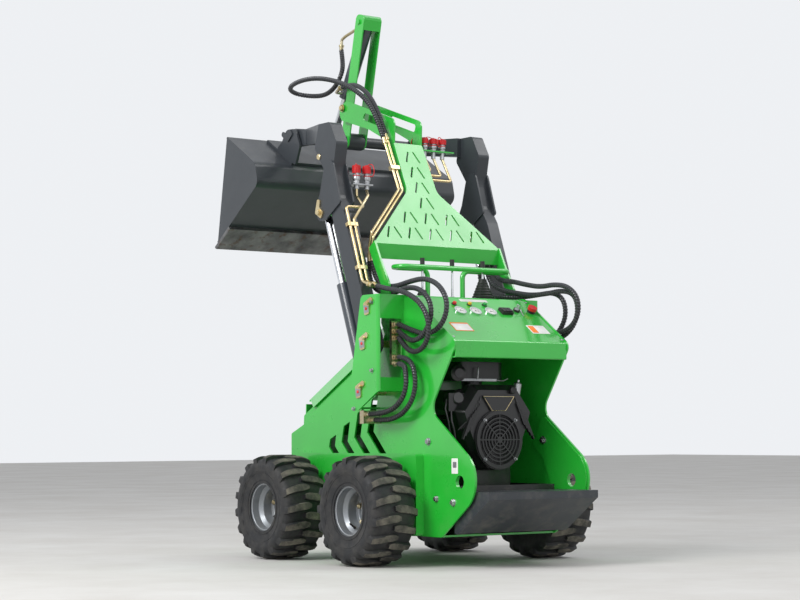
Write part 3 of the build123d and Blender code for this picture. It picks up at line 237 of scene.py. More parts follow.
# ---------------------------------------------------------------- mesh kit
class Build:
    """Collects faces for one joined piece; its calls take metres."""

    def __init__(self):
        self.points, self.faces = [], []

    def add(self, points, faces, place=Matrix.Identity(4)):
        start = len(self.points)
        self.points += [place @ Vector(point) for point in points]
        self.faces += [[start + i for i in face] for face in faces]

    def skin(self, points, sides, place=Matrix.Identity(4)):
        """Covers rings of points that follow each other; ends are closed."""
        faces = []
        last = len(points) - sides
        for low in range(0, last, sides):
            for i in range(sides):
                j = (i + 1) % sides
                faces.append([low + i, low + j, low + sides + j, low + sides + i])
        faces += [list(reversed(range(sides))), [last + i for i in range(sides)]]
        self.add(points, faces, place)

    def lathe(self, rows, sides, place=Matrix.Identity(4)):
        """Turns rows of (radius, height) about Z."""
        points = []
        for radius, height in rows:
            for i in range(sides):
                angle = math.tau * i / sides
                points.append((radius * math.cos(angle), radius * math.sin(angle), height))
        self.skin(points, sides, place)

    def slab(self, outline, low, high, place=Matrix.Identity(4)):
        """Upright prism on an outline of (x, y)."""
        count = len(outline)
        points = [(x, y, low) for x, y in outline] + [(x, y, high) for x, y in outline]
        faces = [[i, (i + 1) % count, count + (i + 1) % count, count + i] for i in range(count)]
        faces += [list(reversed(range(count))), [count + i for i in range(count)]]
        self.add(points, faces, place)

    def tube(self, path, radius, sides=12):
        """Round bar along a list of points."""
        points = []
        for spot, right, upward in frames_along(path):
            for i in range(sides):
                angle = math.tau * i / sides
                points.append(spot + (right * math.cos(angle) + upward * math.sin(angle)) * radius)
        self.skin(points, sides)

    def piece(self, name, look, smooth=30):
        """Makes the object; smooth is the sharpest edge in degrees that is shaded over, or 0."""
        mesh = bpy.data.meshes.new(name)
        mesh.from_pydata([tuple(point) for point in self.points], [], self.faces)
        mesh.validate()
        mesh.update()
        piece = bpy.data.objects.new(name, mesh)
        bpy.context.scene.collection.objects.link(piece)
        mesh.materials.append(LOOKS[look])
        if smooth:
            mesh.shade_smooth()
            mesh.set_sharp_from_angle(angle=math.radians(smooth))
        return piece


def frames_along(path):
    """(point, side, up) along a path, turned as little as it allows."""
    points = [Vector(point) for point in path]
    out, side = [], None
    for i, point in enumerate(points):
        forward = (points[min(i + 1, len(points) - 1)] - points[max(i - 1, 0)]).normalized()
        if side is None:
            side = forward.orthogonal().normalized()
        side = (side - forward * side.dot(forward)).normalized()
        out.append((point, side, forward.cross(side)))
    return out


def facing(spot, direction, turn=0.0):
    """Places a piece built up +Z at a spot, with its Z along a direction."""
    turned = Vector(direction).to_track_quat("Z", "Y").to_matrix().to_4x4()
    return Matrix.Translation(spot) @ turned @ Matrix.Rotation(turn, 4, "Z")


def bolt(build, spot, direction, across=19, washer=True):
    """Hex bolt head with its washer, seated on a face; across is its size over flats."""
    place = facing(spot, direction, 0.4)
    radius = across * MM / math.sqrt(3)
    if washer:
        build.lathe([(radius * 1.25, 0), (radius * 1.25, 0.002)], 24, place)
    build.lathe([(radius, 0.0018), (radius, 0.0095), (radius * 0.86, 0.011)], 6, place)
    build.lathe([(radius * 0.5, 0.0105), (radius * 0.46, 0.0118)], 12, place)


# ---------------------------------------------------------------- camera, light and floor
def camera():
    """Long lens behind the machine and to its left, a little above the ground."""
    yaw, pitch, roll = math.radians(144.02), math.radians(-3.73), math.radians(-0.25)
    back = Vector((math.sin(yaw) * math.cos(pitch), -math.cos(yaw) * math.cos(pitch), math.sin(pitch)))
    data = bpy.data.cameras.new("camera")
    data.sensor_width, data.lens = 36.0, 92.15
    data.clip_start, data.clip_end = 0.1, 200.0
    item = bpy.data.objects.new("camera", data)
    item.rotation_mode = "QUATERNION"
    item.location = (5.3804, 7.2411, 0.5478)
    level = (-back).to_track_quat("-Z", "Y")
    item.rotation_quaternion = level @ Matrix.Rotation(roll, 3, "Z").to_quaternion()
    bpy.context.scene.collection.objects.link(item)
    bpy.context.scene.camera = item


# Columns: name, place and target in metres, diameter in metres, power in watts.
LAMP_ROWS = (
    ("key", (6.5, 0.5, 5.5), (0, 0, 1.0), 4.0, 430),
    ("fill", (1.5, 7.5, 4.0), (0, 0, 1.0), 5.0, 70),
    ("overhead", (-4.7, 3.4, 7.1), (0, 0, 1.6), 3.2, 120),
)
FLOOR_REACH = 30           # metres from the middle of the floor to its edges


def area_lamp(name, spot, target, size, power):
    data = bpy.data.lights.new(name, "AREA")
    data.shape, data.size, data.energy = "DISK", size, power
    item = bpy.data.objects.new(name, data)
    item.location = spot
    item.rotation_mode = "QUATERNION"
    item.rotation_quaternion = (Vector(target) - Vector(spot)).to_track_quat("-Z", "Y")
    bpy.context.scene.collection.objects.link(item)


def studio():
    """Pale floor and backdrop with soft light from above and from the machine's left."""
    scene = bpy.context.scene
    scene.view_settings.view_transform = "Standard"
    world = bpy.data.worlds.new("studio")
    world.use_nodes = True
    tree = world.node_tree
    sky = tree.nodes["Background"]
    sky.inputs["Color"].default_value = (0.95, 0.97, 1.0, 1.0)
    rays = tree.nodes.new("ShaderNodeLightPath")
    total = rays.outputs["Is Camera Ray"]
    for ray in ("Is Glossy Ray", "Is Transmission Ray"):
        either = tree.nodes.new("ShaderNodeMath")
        either.operation = "MAXIMUM"
        tree.links.new(total, either.inputs[0])
        tree.links.new(rays.outputs[ray], either.inputs[1])
        total = either.outputs["Value"]
    strength = tree.nodes.new("ShaderNodeMapRange")
    strength.inputs["To Min"].default_value = 0.55
    strength.inputs["To Max"].default_value = 0.9
    tree.links.new(total, strength.inputs["Value"])
    tree.links.new(strength.outputs["Result"], sky.inputs["Strength"])
    scene.world = world
    for lamp in LAMP_ROWS:
        area_lamp(*lamp)
    m = Nodes("floor_look")
    tone = m.mix(m.spread(m.noise(1.3, 8.0, 0.65), 0.35, 0.7), (0.62, 0.60, 0.57), (0.72, 0.71, 0.69))
    m.link(tone, m.shader.inputs["Base Color"])
    m.bump(m.noise(60.0, 8.0, 0.7), 0.15, 0.002)
    m.set(Roughness=0.75)
    LOOKS["floor"] = m.material
    build = Build()
    reach = FLOOR_REACH
    build.slab([(-reach, -reach), (reach, -reach), (reach, reach), (-reach, reach)], -0.02, 0.0)
    build.piece("floor", "floor", 0)


# ---------------------------------------------------------------- hoses
# Each route is the CAD tube's own list of points, in millimetres.
ROUTES = {
    "hose_tilt_base": [
        (10, -616, 2344), (14, -600, 2296), (34, -570, 2242), (52, -572, 2192), (48, -630, 2155),
        (40, -715, 2140), (52, -800, 2146), (105, -850, 2158), (165, -825, 2170),
        (198, -750, 2182), (200, -650, 2190), (190, -550, 2185), (172, -440, 2160),
        (150, -330, 2115), (130, -235, 2045), (122, -172, 1958), (120, -126.7, 1863.7),
    ],
    "hose_tilt_rod": [
        (66, -524.1, 2150.4), (68, -462, 2152), (78, -385, 2138), (88, -300, 2095),
        (97, -228, 2032), (100, -176, 1958), (100, -135.2, 1881.8),
    ],
    "hose_left_1": [
        (328, 84, 1288), (327, 90, 1225), (321, 145, 1176), (317, 235, 1168), (316, 335, 1184),
        (316, 440, 1192), (317, 535, 1162), (321, 598, 1100), (325, 600, 1030), (328, 550, 975),
        (331, 470, 955), (333, 380, 975), (334, 280, 1006),
    ],
    "hose_left_2": [
        (328, 58, 1288), (327, 52, 1222), (322, 90, 1165), (318, 165, 1143), (322, 255, 1144),
        (338, 345, 1158), (346, 440, 1148), (351, 520, 1100), (354, 540, 1030), (355, 500, 965),
        (352, 430, 930), (342, 350, 940), (334, 280, 978),
    ],
    "hose_left_3": [
        (390, 204.5, 1170.7), (390, 262, 1156), (388, 345, 1146), (388, 440, 1120),
        (386, 520, 1070), (384, 560, 1000), (378, 545, 930), (368, 480, 888), (354, 400, 885),
        (342, 335, 910), (334, 280, 950),
    ],
    "hose_lower_1": [
        (334, 280, 868), (335, 340, 864), (340, 395, 822), (346, 415, 755), (350, 400, 690),
        (354, 345, 635), (357, 265, 608), (358, 200, 604), (358, 140, 606),
    ],
    "hose_lower_2": [
        (334, 280, 840), (341, 328, 836), (362, 368, 800), (372, 384, 744), (378, 365, 692),
        (382, 310, 650), (384, 225, 632), (384, 140, 630),
    ],
    "hose_right_1": [
        (-318, 90.1, 1318.1), (-318, 98, 1262), (-318, 155, 1224), (-319, 235, 1216),
        (-321, 325, 1196), (-324, 420, 1180), (-327, 515, 1186), (-329, 600, 1172),
        (-331, 660, 1122), (-332, 664, 1050), (-333, 610, 992), (-334, 525, 975),
        (-334, 435, 981), (-334, 355, 998), (-334, 280, 1006),
    ],
    "hose_right_2": [
        (-296, 86.8, 1318), (-296, 84, 1262), (-298, 116, 1208), (-305, 185, 1178),
        (-316, 265, 1162), (-332, 350, 1148), (-346, 440, 1150), (-354, 530, 1160),
        (-357, 605, 1142), (-358, 632, 1080), (-356, 610, 1010), (-352, 550, 962),
        (-346, 470, 942), (-339, 380, 950), (-334, 280, 978),
    ],
    "hose_right_3": [
        (-274, 78.8, 1320.2), (-275, 56, 1262), (-279, 70, 1200), (-288, 120, 1160),
        (-300, 195, 1146), (-338, 278, 1143), (-362, 360, 1150), (-376, 440, 1158),
        (-381, 505, 1130), (-382, 525, 1065), (-378, 500, 1000), (-368, 440, 950),
        (-352, 360, 930), (-334, 280, 950),
    ],
}
# Columns: fixed body, moving body; the route's first point is on the moving one.
CROSSES = {
    "hose_tilt_base": ("upper_link", "lever"), "hose_tilt_rod": ("upper_link", "lever"),
    "hose_left_1": ("chassis", "upper_link"), "hose_left_2": ("chassis", "upper_link"),
    "hose_left_3": ("chassis", "lift_arm"), "hose_right_1": ("chassis", "upper_link"),
    "hose_right_2": ("chassis", "upper_link"), "hose_right_3": ("chassis", "upper_link"),
}
WRAP_PITCH = 0.0125        # metres between two turns of the spiral guard
WRAP_STEPS = 6             # rings of the mesh in one turn of the guard
WRAP_SHARE = 0.6           # share of each turn that the guard's strip covers
WRAP_OUT, WRAP_IN = 1.06, 0.84    # strip and groove, as shares of the hose's radius
HOSE_SIDES = 18


def centreline(name, route):
    """Points of the smooth curve whose control points are the route."""
    curve = bpy.data.curves.new(name + "_line", "CURVE")
    curve.dimensions = "3D"
    curve.resolution_u = 24
    spline = curve.splines.new("NURBS")
    spline.points.add(len(route) - 1)
    for point, spot in zip(spline.points, route):
        point.co = (*at(*spot), 1.0)
    spline.order_u = 3
    spline.use_endpoint_u = True
    holder = bpy.data.objects.new(name + "_line", curve)
    mesh = bpy.data.meshes.new_from_object(holder)
    points = [vertex.co.copy() for vertex in mesh.vertices]
    bpy.data.objects.remove(holder)
    return points


def even(points, step):
    """The same line with its points evenly spaced, and its length."""
    lengths = [0.0]
    for a, b in zip(points, points[1:]):
        lengths.append(lengths[-1] + (b - a).length)
    count = max(round(lengths[-1] / step), 2)
    out, i = [], 0
    for k in range(count + 1):
        goal = lengths[-1] * k / count
        while i < len(points) - 2 and lengths[i + 1] < goal:
            i += 1
        share = (goal - lengths[i]) / max(lengths[i + 1] - lengths[i], 1e-9)
        out.append(points[i].lerp(points[i + 1], min(share, 1.0)))
    return out, lengths[-1]


def on_strip(ring, side):
    """Whether the guard's strip covers one point of one of the hose's rings."""
    return (ring / WRAP_STEPS + side / HOSE_SIDES) % 1.0 < WRAP_SHARE


def hose(name, route):
    """Hose in a spiral guard, from its first ferrule to its last."""
    line, length = even(centreline(name, route), WRAP_PITCH / WRAP_STEPS)
    build = Build()
    points = []
    for k, (spot, right, upward) in enumerate(frames_along(line)):
        for i in range(HOSE_SIDES):
            angle = math.tau * i / HOSE_SIDES
            radius = HOSE_D / 2 * MM * (WRAP_OUT if on_strip(k, i) else WRAP_IN)
            points.append(spot + (right * math.cos(angle) + upward * math.sin(angle)) * radius)
    build.skin(points, HOSE_SIDES)
    piece = build.piece(name + "_guarded", "rubber")
    # The groove faces take the darker look, which is painted shade between the strip's turns.
    piece.data.materials.append(LOOKS["groove"])
    for face in piece.data.polygons[:(len(line) - 1) * HOSE_SIDES]:
        if not on_strip(face.index // HOSE_SIDES, face.index % HOSE_SIDES):
            face.material_index = 1
    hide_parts(name)
    if name in CROSSES:
        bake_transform(piece)
    else:
        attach(piece, "chassis")


# ---------------------------------------------------------------- wheels
# Section of the carcass from its bead to the middle of the tread: place across, radius.
CARCASS = [
    (96, 104), (97, 116), (98, 128), (104, 150), (108.5, 172), (107, 190), (99, 204), (84, 211),
    (56, 214), (0, 215.5),
]
SIDE_RINGS = ((98.2, 118), (104.6, 152))   # raised rings on the side walls: place across, radius
CROWN_FLAT, CROWN_RUN, CROWN_DROP = 52, 56, 13.5
LUGS = 17                  # in each of the two rows
LUG_STEPS = 12             # sections along a lug
LUG_TREAD, LUG_WALL = 0.78, 0.22  # shares of a lug on the tread and down the side wall
TREAD_TURN = {"front": 0.0, "rear": 0.21}  # radians
STEM_TURN = {"front": 2.3, "rear": 3.6}
NUT_CIRCLE_R = 57.15


def crown(x):
    """Radius of the lugs' tops at a place across the tread."""
    return TYRE_R - CROWN_DROP * (max(abs(x) - CROWN_FLAT, 0) / CROWN_RUN) ** 2


def lug(build, side, base):
    """One curved lug, from the middle of the tread to the side wall; base is its angle."""
    points, faces = [], []
    for i in range(LUG_STEPS + 1):
        share = i / LUG_STEPS
        bent = -15 + 123 * min(share / LUG_TREAD, 1.0)
        down = max(share - LUG_TREAD, 0) / LUG_WALL
        x = min(bent, 106.0) + 1.5 * down
        top = crown(x) - 4 - 34 * down if down else crown(x)
        foot = 190 if down == 0 else 170 - 10 * down
        sweep = 0.05 + 0.15 * share ** 2
        wide = (8.5, 14.0)[i] if i < 2 else 16.5 - 5 * max(share - 0.6, 0)
        section = (
            (-wide - 3.5, foot), (-wide, top - 3), (-wide + 2.5, top),
            (wide - 2.5, top), (wide, top - 3), (wide + 3.5, foot))
        for offset, radius in section:
            angle = base + sweep + offset / TYRE_R
            points.append((side * x * MM, radius * MM * math.sin(angle), radius * MM * math.cos(angle)))
    for i in range(LUG_STEPS):
        for j in range(5):
            a, b = i * 6 + j, i * 6 + j + 1
            face = [a, b, b + 6, a + 6]
            faces.append(face if side > 0 else face[::-1])
    ends = [[5, 4, 3, 2, 1, 0], [LUG_STEPS * 6 + j for j in range(6)]]
    faces += ends if side > 0 else [end[::-1] for end in ends]
    build.add(points, faces)


def tyre_build():
    """Carcass and two staggered rows of curved lugs, on the X axis."""
    build = Build()
    rows = [(radius * MM, x * MM) for x, radius in CARCASS]
    rows += [(radius * MM, -x * MM) for x, radius in reversed(CARCASS[:-1])]
    sides = 120
    points, faces = [], []
    for radius, across in rows:
        for i in range(sides):
            angle = math.tau * i / sides
            points.append((across, radius * math.cos(angle), radius * math.sin(angle)))
    for ring in range(len(rows) - 1):
        for i in range(sides):
            j = (i + 1) % sides
            low, high = ring * sides, (ring + 1) * sides
            faces.append([low + i, high + i, high + j, low + j])
    build.add(points, faces)
    for side in (1, -1):
        for k in range(LUGS):
            lug(build, side, math.tau * (k + (0.5 if side < 0 else 0.0)) / LUGS)
    for side in (1, -1):
        for x, radius in SIDE_RINGS:
            ring = [(side * x * MM, radius * MM * math.cos(math.tau * i / 96),
                     radius * MM * math.sin(math.tau * i / 96)) for i in range(97)]
            build.tube(ring, 0.0012, 6)
    return build


def wheels():
    """Treaded tyres, gold wheel nuts and a valve stem on each wheel."""
    source = tyre_build().piece("tyre_source", "tyre", 38)
    source.data.materials.append(LOOKS["lug"])
    for face in source.data.polygons:
        middle = face.center / MM
        if abs(middle.x) < 104 and math.hypot(middle.y, middle.z) > crown(middle.x) - 1.6:
            face.material_index = 1
    for end, axle_y in AXLES_Y.items():
        for side, sign in (("left", 1), ("right", -1)):
            body = f"wheel_{end}_{side}"
            centre = at(sign * WHEEL_X, axle_y, TYRE_R)
            piece = source.copy()
            piece.data = source.data.copy()
            piece.name = f"treaded_tyre_{end}_{side}"
            bpy.context.scene.collection.objects.link(piece)
            turned = Matrix.Rotation(TREAD_TURN[end], 4, "X")
            piece.data.transform(Matrix.Translation(centre) @ turned)
            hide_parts(f"tyre_{end}_{side}")
            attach(piece, body)
            nuts = Build()
            out = Vector((sign, 0, 0))
            for k in range(5):
                angle = math.tau * k / 5
                outward = Vector((0, -math.sin(angle), math.cos(angle)))
                place = facing(centre + out * -0.012 + outward * (NUT_CIRCLE_R * MM), out, 0.3 * k)
                nuts.lathe([(0.0085, 0), (0.0125, 0.004)], 24, place)
                nuts.lathe([(0.0118, 0.004), (0.0118, 0.017), (0.0098, 0.0195)], 6, place)
                nuts.lathe([(0.0058, 0.0185), (0.0058, 0.0225), (0.0048, 0.0235)], 16, place)
            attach(nuts.piece(f"wheel_nuts_{end}_{side}", "gold"), body)
            stem = Build()
            angle = STEM_TURN[end]
            outward = Vector((0, math.sin(angle), math.cos(angle)))
            lean = (out * 0.8 - outward * 0.55).normalized()
            stem.lathe([(0.007, 0), (0.0062, 0.004), (0.0045, 0.008), (0.004, 0.026), (0.0046, 0.027),
                        (0.0046, 0.036), (0.003, 0.038)], 16,
                       facing(centre + out * 0.036 + outward * 0.0795, lean))
            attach(stem.piece(f"valve_stem_{end}_{side}", "plastic"), body)
    bpy.data.objects.remove(source)


# ---------------------------------------------------------------- finishes of the CAD nodes
def finish_nodes():
    """Gives each CAD node the look of its material slot."""
    by_slot = {slot: look for look, slot in SLOTS.items()}
    wanted = {row["node"]: row["material_slot"] for row in frame["record"]["subparts"]}
    for name, node in NODES.items():
        look = by_slot.get(wanted.get(name), "green")
        node.data.materials.clear()
        node.data.materials.append(LOOKS[look])


# ---------------------------------------------------------------- lower flange of the link plate
BEND, LIP, FOOT = (120, 1362), (114, 1297), (165, 1283)    # (y, z)
LEG_X = 335                # inner face of the frame's legs


def link_plate():
    """The link frame with its lower flange bent forward between the legs."""
    mesh = NODES["link_frame"].data.copy()
    shape = bmesh.new()
    shape.from_mesh(mesh)
    doomed = []
    for face in shape.faces:
        across = [vertex.co.x / MM for vertex in face.verts]
        heights = [vertex.co.z / MM for vertex in face.verts]
        between_legs = max(map(abs, across)) < LEG_X + 0.2
        if between_legs and max(across) - min(across) > 1 and max(heights) < BEND[1] + 2:
            doomed.append(face)
    bmesh.ops.delete(shape, geom=doomed, context="FACES")
    shape.to_mesh(mesh)
    shape.free()
    sheet = bpy.data.objects.new("link_sheet", mesh)
    bpy.context.scene.collection.objects.link(sheet)
    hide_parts("link_frame")
    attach(sheet, "upper_link")
    flange = Build()
    turned = Matrix(((0, 0, 1, 0), (1, 0, 0, 0), (0, 1, 0, 0), (0, 0, 0, 1)))
    rows = [(BEND[0] - 9, BEND[1] - 4), (LIP[0] - 6, LIP[1]), LIP, (BEND[0] + 0.2, BEND[1] + 0.4)]
    flange.slab([(y * MM, z * MM) for y, z in rows], -LEG_X * MM, LEG_X * MM, turned)
    old = [(BEND[0] - 8, BEND[1] - 3), (FOOT[0] - 8, FOOT[1] - 3), FOOT, BEND]
    for side in (-1, 1):
        low, high = sorted((side * (LEG_X - 0.4) * MM, side * (LEG_X + 0.4) * MM))
        flange.slab([(y * MM, z * MM) for y, z in old], low, high, turned)
    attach(flange.piece("link_flange", "green", 0), "upper_link")


# ---------------------------------------------------------------- repainting faces of CAD nodes
def repaint(node_name, rules):
    """Gives faces of one CAD node another look; rules are (look, test of a face's middle in mm)."""
    mesh = NODES[node_name].data
    for look, test in rules:
        mesh.materials.append(LOOKS[look])
        index = len(mesh.materials) - 1
        for face in mesh.polygons:
            if test(face.center / MM):
                face.material_index = index


PANEL_TOP, PANEL_FOOT = (342, 1127), (623, 927)            # (y, z)
PANEL_LEN = math.dist(PANEL_TOP, PANEL_FOOT)
PANEL_RUN = ((PANEL_FOOT[0] - PANEL_TOP[0]) / PANEL_LEN, (PANEL_FOOT[1] - PANEL_TOP[1]) / PANEL_LEN)
PANEL_OUT = Vector((0, -PANEL_RUN[1], PANEL_RUN[0]))
GAUGES = (129, 48, -34)    # places across the panel
LAMPS = (("red", 126), ("yellow", 45), ("lens", -37))
GAUGE_ROW, LAMP_ROW = 116, 61      # places down the panel
KEY, STOP_KNOB = (-189, 96), (-266, 102)   # across, down
ARM_COUPLER_Z, ARM_CAP_Z = 1611, 1683      # feet of the couplers and of their caps
LINK_COUPLER_Z, LINK_CAP_Z = 1797, 1857
STALKS = ((160, 1163), (0, 1139), (-168, 1221))            # across, top of the boot
STALKS_Y, STALK_END, STALK_REACH = 215, 1265, 5.6
# Labels on the panel: name, look, across, down, lift, then width and height in metres.
LABELS = (
    ("label_strip", "white", 1, 27, 0.2, 0.148, 0.020),
    ("label_one_edge", "orange", 199, 240, 0.2, 0.096, 0.064),
    ("label_one_face", "white", 199, 243, 0.8, 0.088, 0.050),
    ("label_two_edge", "white", -210, 243, 0.2, 0.096, 0.064),
    ("label_two_mark", "orange", -183, 243, 0.8, 0.030, 0.052),
)


def on_panel(across, down, lift):
    """Point over the sloping instrument panel, in metres."""
    return at(across, PANEL_TOP[0] + PANEL_RUN[0] * down - PANEL_RUN[1] * lift,
              PANEL_TOP[1] + PANEL_RUN[1] * down + PANEL_RUN[0] * lift)


def near(middle, spot, reach):
    """Whether a face's middle in mm lies within reach of a spot in metres."""
    return (Vector(middle) - Vector(spot) / MM).length < reach


def lever_look(middle):
    """Bare stalk between the boots and the knobs."""
    for x, top in STALKS:
        on_axis = math.hypot(middle.x - x, middle.y - STALKS_Y) < STALK_REACH
        if on_axis and top < middle.z < STALK_END:
            return True
    return False


def on_bracket(middle):
    """Faces of the green plate that carries the link's couplers."""
    within = middle.x < -78 and -151 < middle.y < -106 and 1817 < middle.z < 1825
    flat = abs(middle.z - 1818) < 0.5 or abs(middle.z - 1824) < 0.5
    return within and (flat or middle.y < -149.5 or middle.y > -107.5 or middle.x < -261)


def repaint_nodes():
    """Colours of the controls, gauges, lines, couplers and pin heads, which share a node."""
    repaint("control_levers", [("chrome", lever_look)])
    rules = [(look, lambda p, x=x: near(p, on_panel(x, LAMP_ROW, 8), 16)) for look, x in LAMPS]
    rules.append(("chrome", lambda p: any(near(p, on_panel(x, GAUGE_ROW, 3), 31) for x in GAUGES)))
    rules.append(("steel", lambda p: near(p, on_panel(*KEY, 22), 17)))
    rules.append(("red", lambda p: near(p, on_panel(*STOP_KNOB, 23), 26)
                  and (p * MM - on_panel(*STOP_KNOB, 0)).dot(PANEL_OUT) > 0.0115))
    repaint("instruments", rules)
    repaint("arm_lines", [
        ("gold", lambda p: p.z < ARM_COUPLER_Z), ("steel", lambda p: p.z >= ARM_COUPLER_Z),
        ("red", lambda p: p.z > ARM_CAP_Z)])
    repaint("link_lines", [
        ("gold", lambda p: p.z < LINK_COUPLER_Z or p.x > 60),
        ("steel", lambda p: p.z > LINK_COUPLER_Z and p.x < 0), ("green", on_bracket),
        ("red", lambda p: p.z > LINK_CAP_Z and p.x < 0)])
    repaint("tower_pins", [("steel", lambda p: abs(p.x) > PIN_FACE_X - 0.3 and any(
        math.hypot(p.y - y, p.z - z) < 14 for y, z in TOWER_PINS))])


# ---------------------------------------------------------------- console
def plate(name, look, centre, out, across, wide, tall, body, proud=0.0006, corner=0.003):
    """Thin label with round corners; out is its normal and across its level direction."""
    out, across = Vector(out).normalized(), Vector(across).normalized()
    up = out.cross(across)
    turned = Matrix((across, up, out)).transposed().to_4x4()
    rows = []
    for sx, sy, first in ((1, 1, 0), (-1, 1, 1), (-1, -1, 2), (1, -1, 3)):
        for i in range(5):
            angle = math.pi / 2 * (first + i / 4)
            rows.append((sx * (wide / 2 - corner) + corner * math.cos(angle),
                         sy * (tall / 2 - corner) + corner * math.sin(angle)))
    build = Build()
    build.slab(rows, 0.0, proud, Matrix.Translation(centre) @ turned)
    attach(build.piece(name, look, 0), body)


def gauges():
    """Dial faces with their scale marks and needles."""
    faces, ticks = Build(), Build()
    for x in GAUGES:
        place = facing(on_panel(x, GAUGE_ROW, 4.35), PANEL_OUT)
        faces.lathe([(0.0215, 0), (0.0215, 0.0006)], 48, place)
        for k in range(11):
            angle = math.radians(-130 + 26 * k)
            spin = place @ Matrix.Rotation(angle, 4, "Z")
            reach = 0.0065 if k % 5 == 0 else 0.004
            ticks.slab([(-0.0005, 0.0195 - reach), (0.0005, 0.0195 - reach), (0.0005, 0.0195),
                        (-0.0005, 0.0195)], 0.0006, 0.0009, spin)
        needle = place @ Matrix.Rotation(math.radians(-105), 4, "Z")
        ticks.slab([(-0.0011, -0.004), (0.0011, -0.004), (0.0003, 0.016), (-0.0003, 0.016)],
                   0.0009, 0.0015, needle)
        ticks.lathe([(0.0026, 0.0006), (0.0026, 0.002)], 16, place)
    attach(faces.piece("gauge_faces", "white"), "chassis")
    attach(ticks.piece("gauge_marks", "plastic"), "chassis")


def console_fittings():
    """Rocker switches, key ring, collars, screws and labels of the instrument panel."""
    rockers = Build()
    for k in range(3):
        place = facing(on_panel(-120 + 18 * (k - 1), 111, 12.3), PANEL_OUT)
        for foot, top, proud in ((-0.015, 0.0, 0.0045), (0.0, 0.015, 0.0022)):
            outline = [(-0.0075, foot), (0.0075, foot), (0.0075, top), (-0.0075, top)]
            rockers.slab(outline, 0, proud, place)
    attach(rockers.piece("rocker_switches", "plastic"), "chassis")
    ring = Build()
    hook = on_panel(*KEY, 30)
    down = Vector((-0.25, 0.35, -1.0)).normalized()
    side = Vector((1, 0.2, 0)).normalized()
    loop = [hook + down * (0.011 - 0.011 * math.cos(math.tau * i / 32))
            + side * 0.011 * math.sin(math.tau * i / 32) for i in range(33)]
    ring.tube(loop, 0.0009, 8)
    spare = [hook + down * (0.022 + 0.03 * i / 4) + side * 0.002 * math.sin(i) for i in range(5)]
    ring.tube(spare, 0.0022, 8)
    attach(ring.piece("key_ring", "steel"), "chassis")
    collar = Build()
    for _, x in LAMPS:
        place = facing(on_panel(x, LAMP_ROW, 0), PANEL_OUT)
        collar.lathe([(0.0115, 0.0003), (0.0115, 0.003), (0.0088, 0.0042)], 24, place)
    place = facing(on_panel(*STOP_KNOB, 0), PANEL_OUT)
    collar.lathe([(0.018, 0.0003), (0.018, 0.004), (0.0155, 0.006)], 32, place)
    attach(collar.piece("panel_collars", "plastic"), "chassis")
    nuts = Build()
    for x in (-SIDE_X + 14, SIDE_X - 14):
        for down in (24, 318):
            place = facing(on_panel(x, down, 0.2), PANEL_OUT)
            nuts.lathe([(0.0065, 0), (0.0065, 0.0015), (0.004, 0.0032)], 20, place)
    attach(nuts.piece("panel_screws", "steel"), "chassis")
    for name, look, x, down, lift, wide, tall in LABELS:
        plate(name, look, on_panel(x, down, lift), PANEL_OUT, (-1, 0, 0), wide, tall, "chassis")


# ---------------------------------------------------------------- bolts, pins and labels
def fastenings():
    """Bolt heads, pin ends and grease fittings, and the labels on the side plates."""
    steel, gold, dots = Build(), Build(), Build()
    for sign in (1, -1):
        out = (sign, 0, 0)
        for y, z in ((446, 514), (613, 267)):
            bolt(steel, at(sign * SIDE_X, y, z), out, 22)
        bolt(steel, at(sign * SIDE_X, 499, 279), out, 19)
        bolt(steel, at(sign * (SIDE_X - 16.8), 474, 517), (-sign, 0, 0), 24)
        bolt(steel, at(sign * (SIDE_X - 16.8), 613, 267), (-sign, 0, 0), 22)
        for y, z in TOWER_PINS:
            place = facing(at(sign * PIN_FACE_X, y, z), out)
            dots.lathe([(0.0068, 0), (0.0068, 0.0012), (0.005, 0.0026)], 20, place)
            bolt(gold, at(sign * PIN_FACE_X, y + 22, z + 22), out, 13, False)
        for y, z in ((99, 653), (232, 812), (232, 1100)):
            bolt(steel, at(sign * TOWER_X, y, z), out, 13)
    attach(steel.piece("body_bolts", "steel"), "chassis")
    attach(gold.piece("retainer_bolts", "gold"), "chassis")
    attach(dots.piece("grease_fittings", "red"), "chassis")
    arm = Build()
    for sign in (1, -1):
        for y, z in ((-187, 1760), (-102, 1668)):
            place = facing(at(sign * 423.2, y, z), (sign, 0, 0))
            arm.lathe([(0.013, 0), (0.013, 0.004), (0.011, 0.0055)], 28, place)
        bolt(arm, at(sign * 437.3, -168, 1512), (sign, 0, 0), 22)
    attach(arm.piece("arm_pin_ends", "gold"), "lift_arm")
    tip = Build()
    for sign in (1, -1):
        bolt(tip, at(sign * 84.1, -502, 2048), (sign, 0, 0), 24)
    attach(tip.piece("link_tip_nuts", "gold"), "upper_link")
    for sign in (1, -1):
        name = "left" if sign > 0 else "right"
        plate(f"side_label_{name}", "white", at(sign * (SIDE_X + 0.1), 624, 415), (sign, 0, 0),
              (0, sign, 0), 0.042, 0.062, "chassis")
        plate(f"side_label_{name}_mark", "steel", at(sign * (SIDE_X + 0.7), 624, 420), (sign, 0, 0),
              (0, sign, 0), 0.024, 0.024, "chassis")


# ---------------------------------------------------------------- coupler caps
CAP_R = 17
CAP_RIBS = 20
# Columns: middle of the coupler's foot, its height, the body it is on, the side its strap hangs.
COUPLERS = [((x, -45, 1634.3), 78, "lift_arm", 1) for x in (322, 268)]
COUPLERS += [((x, -125, 1824.3), 52, "upper_link", -1) for x in (-107, -157, -207)]


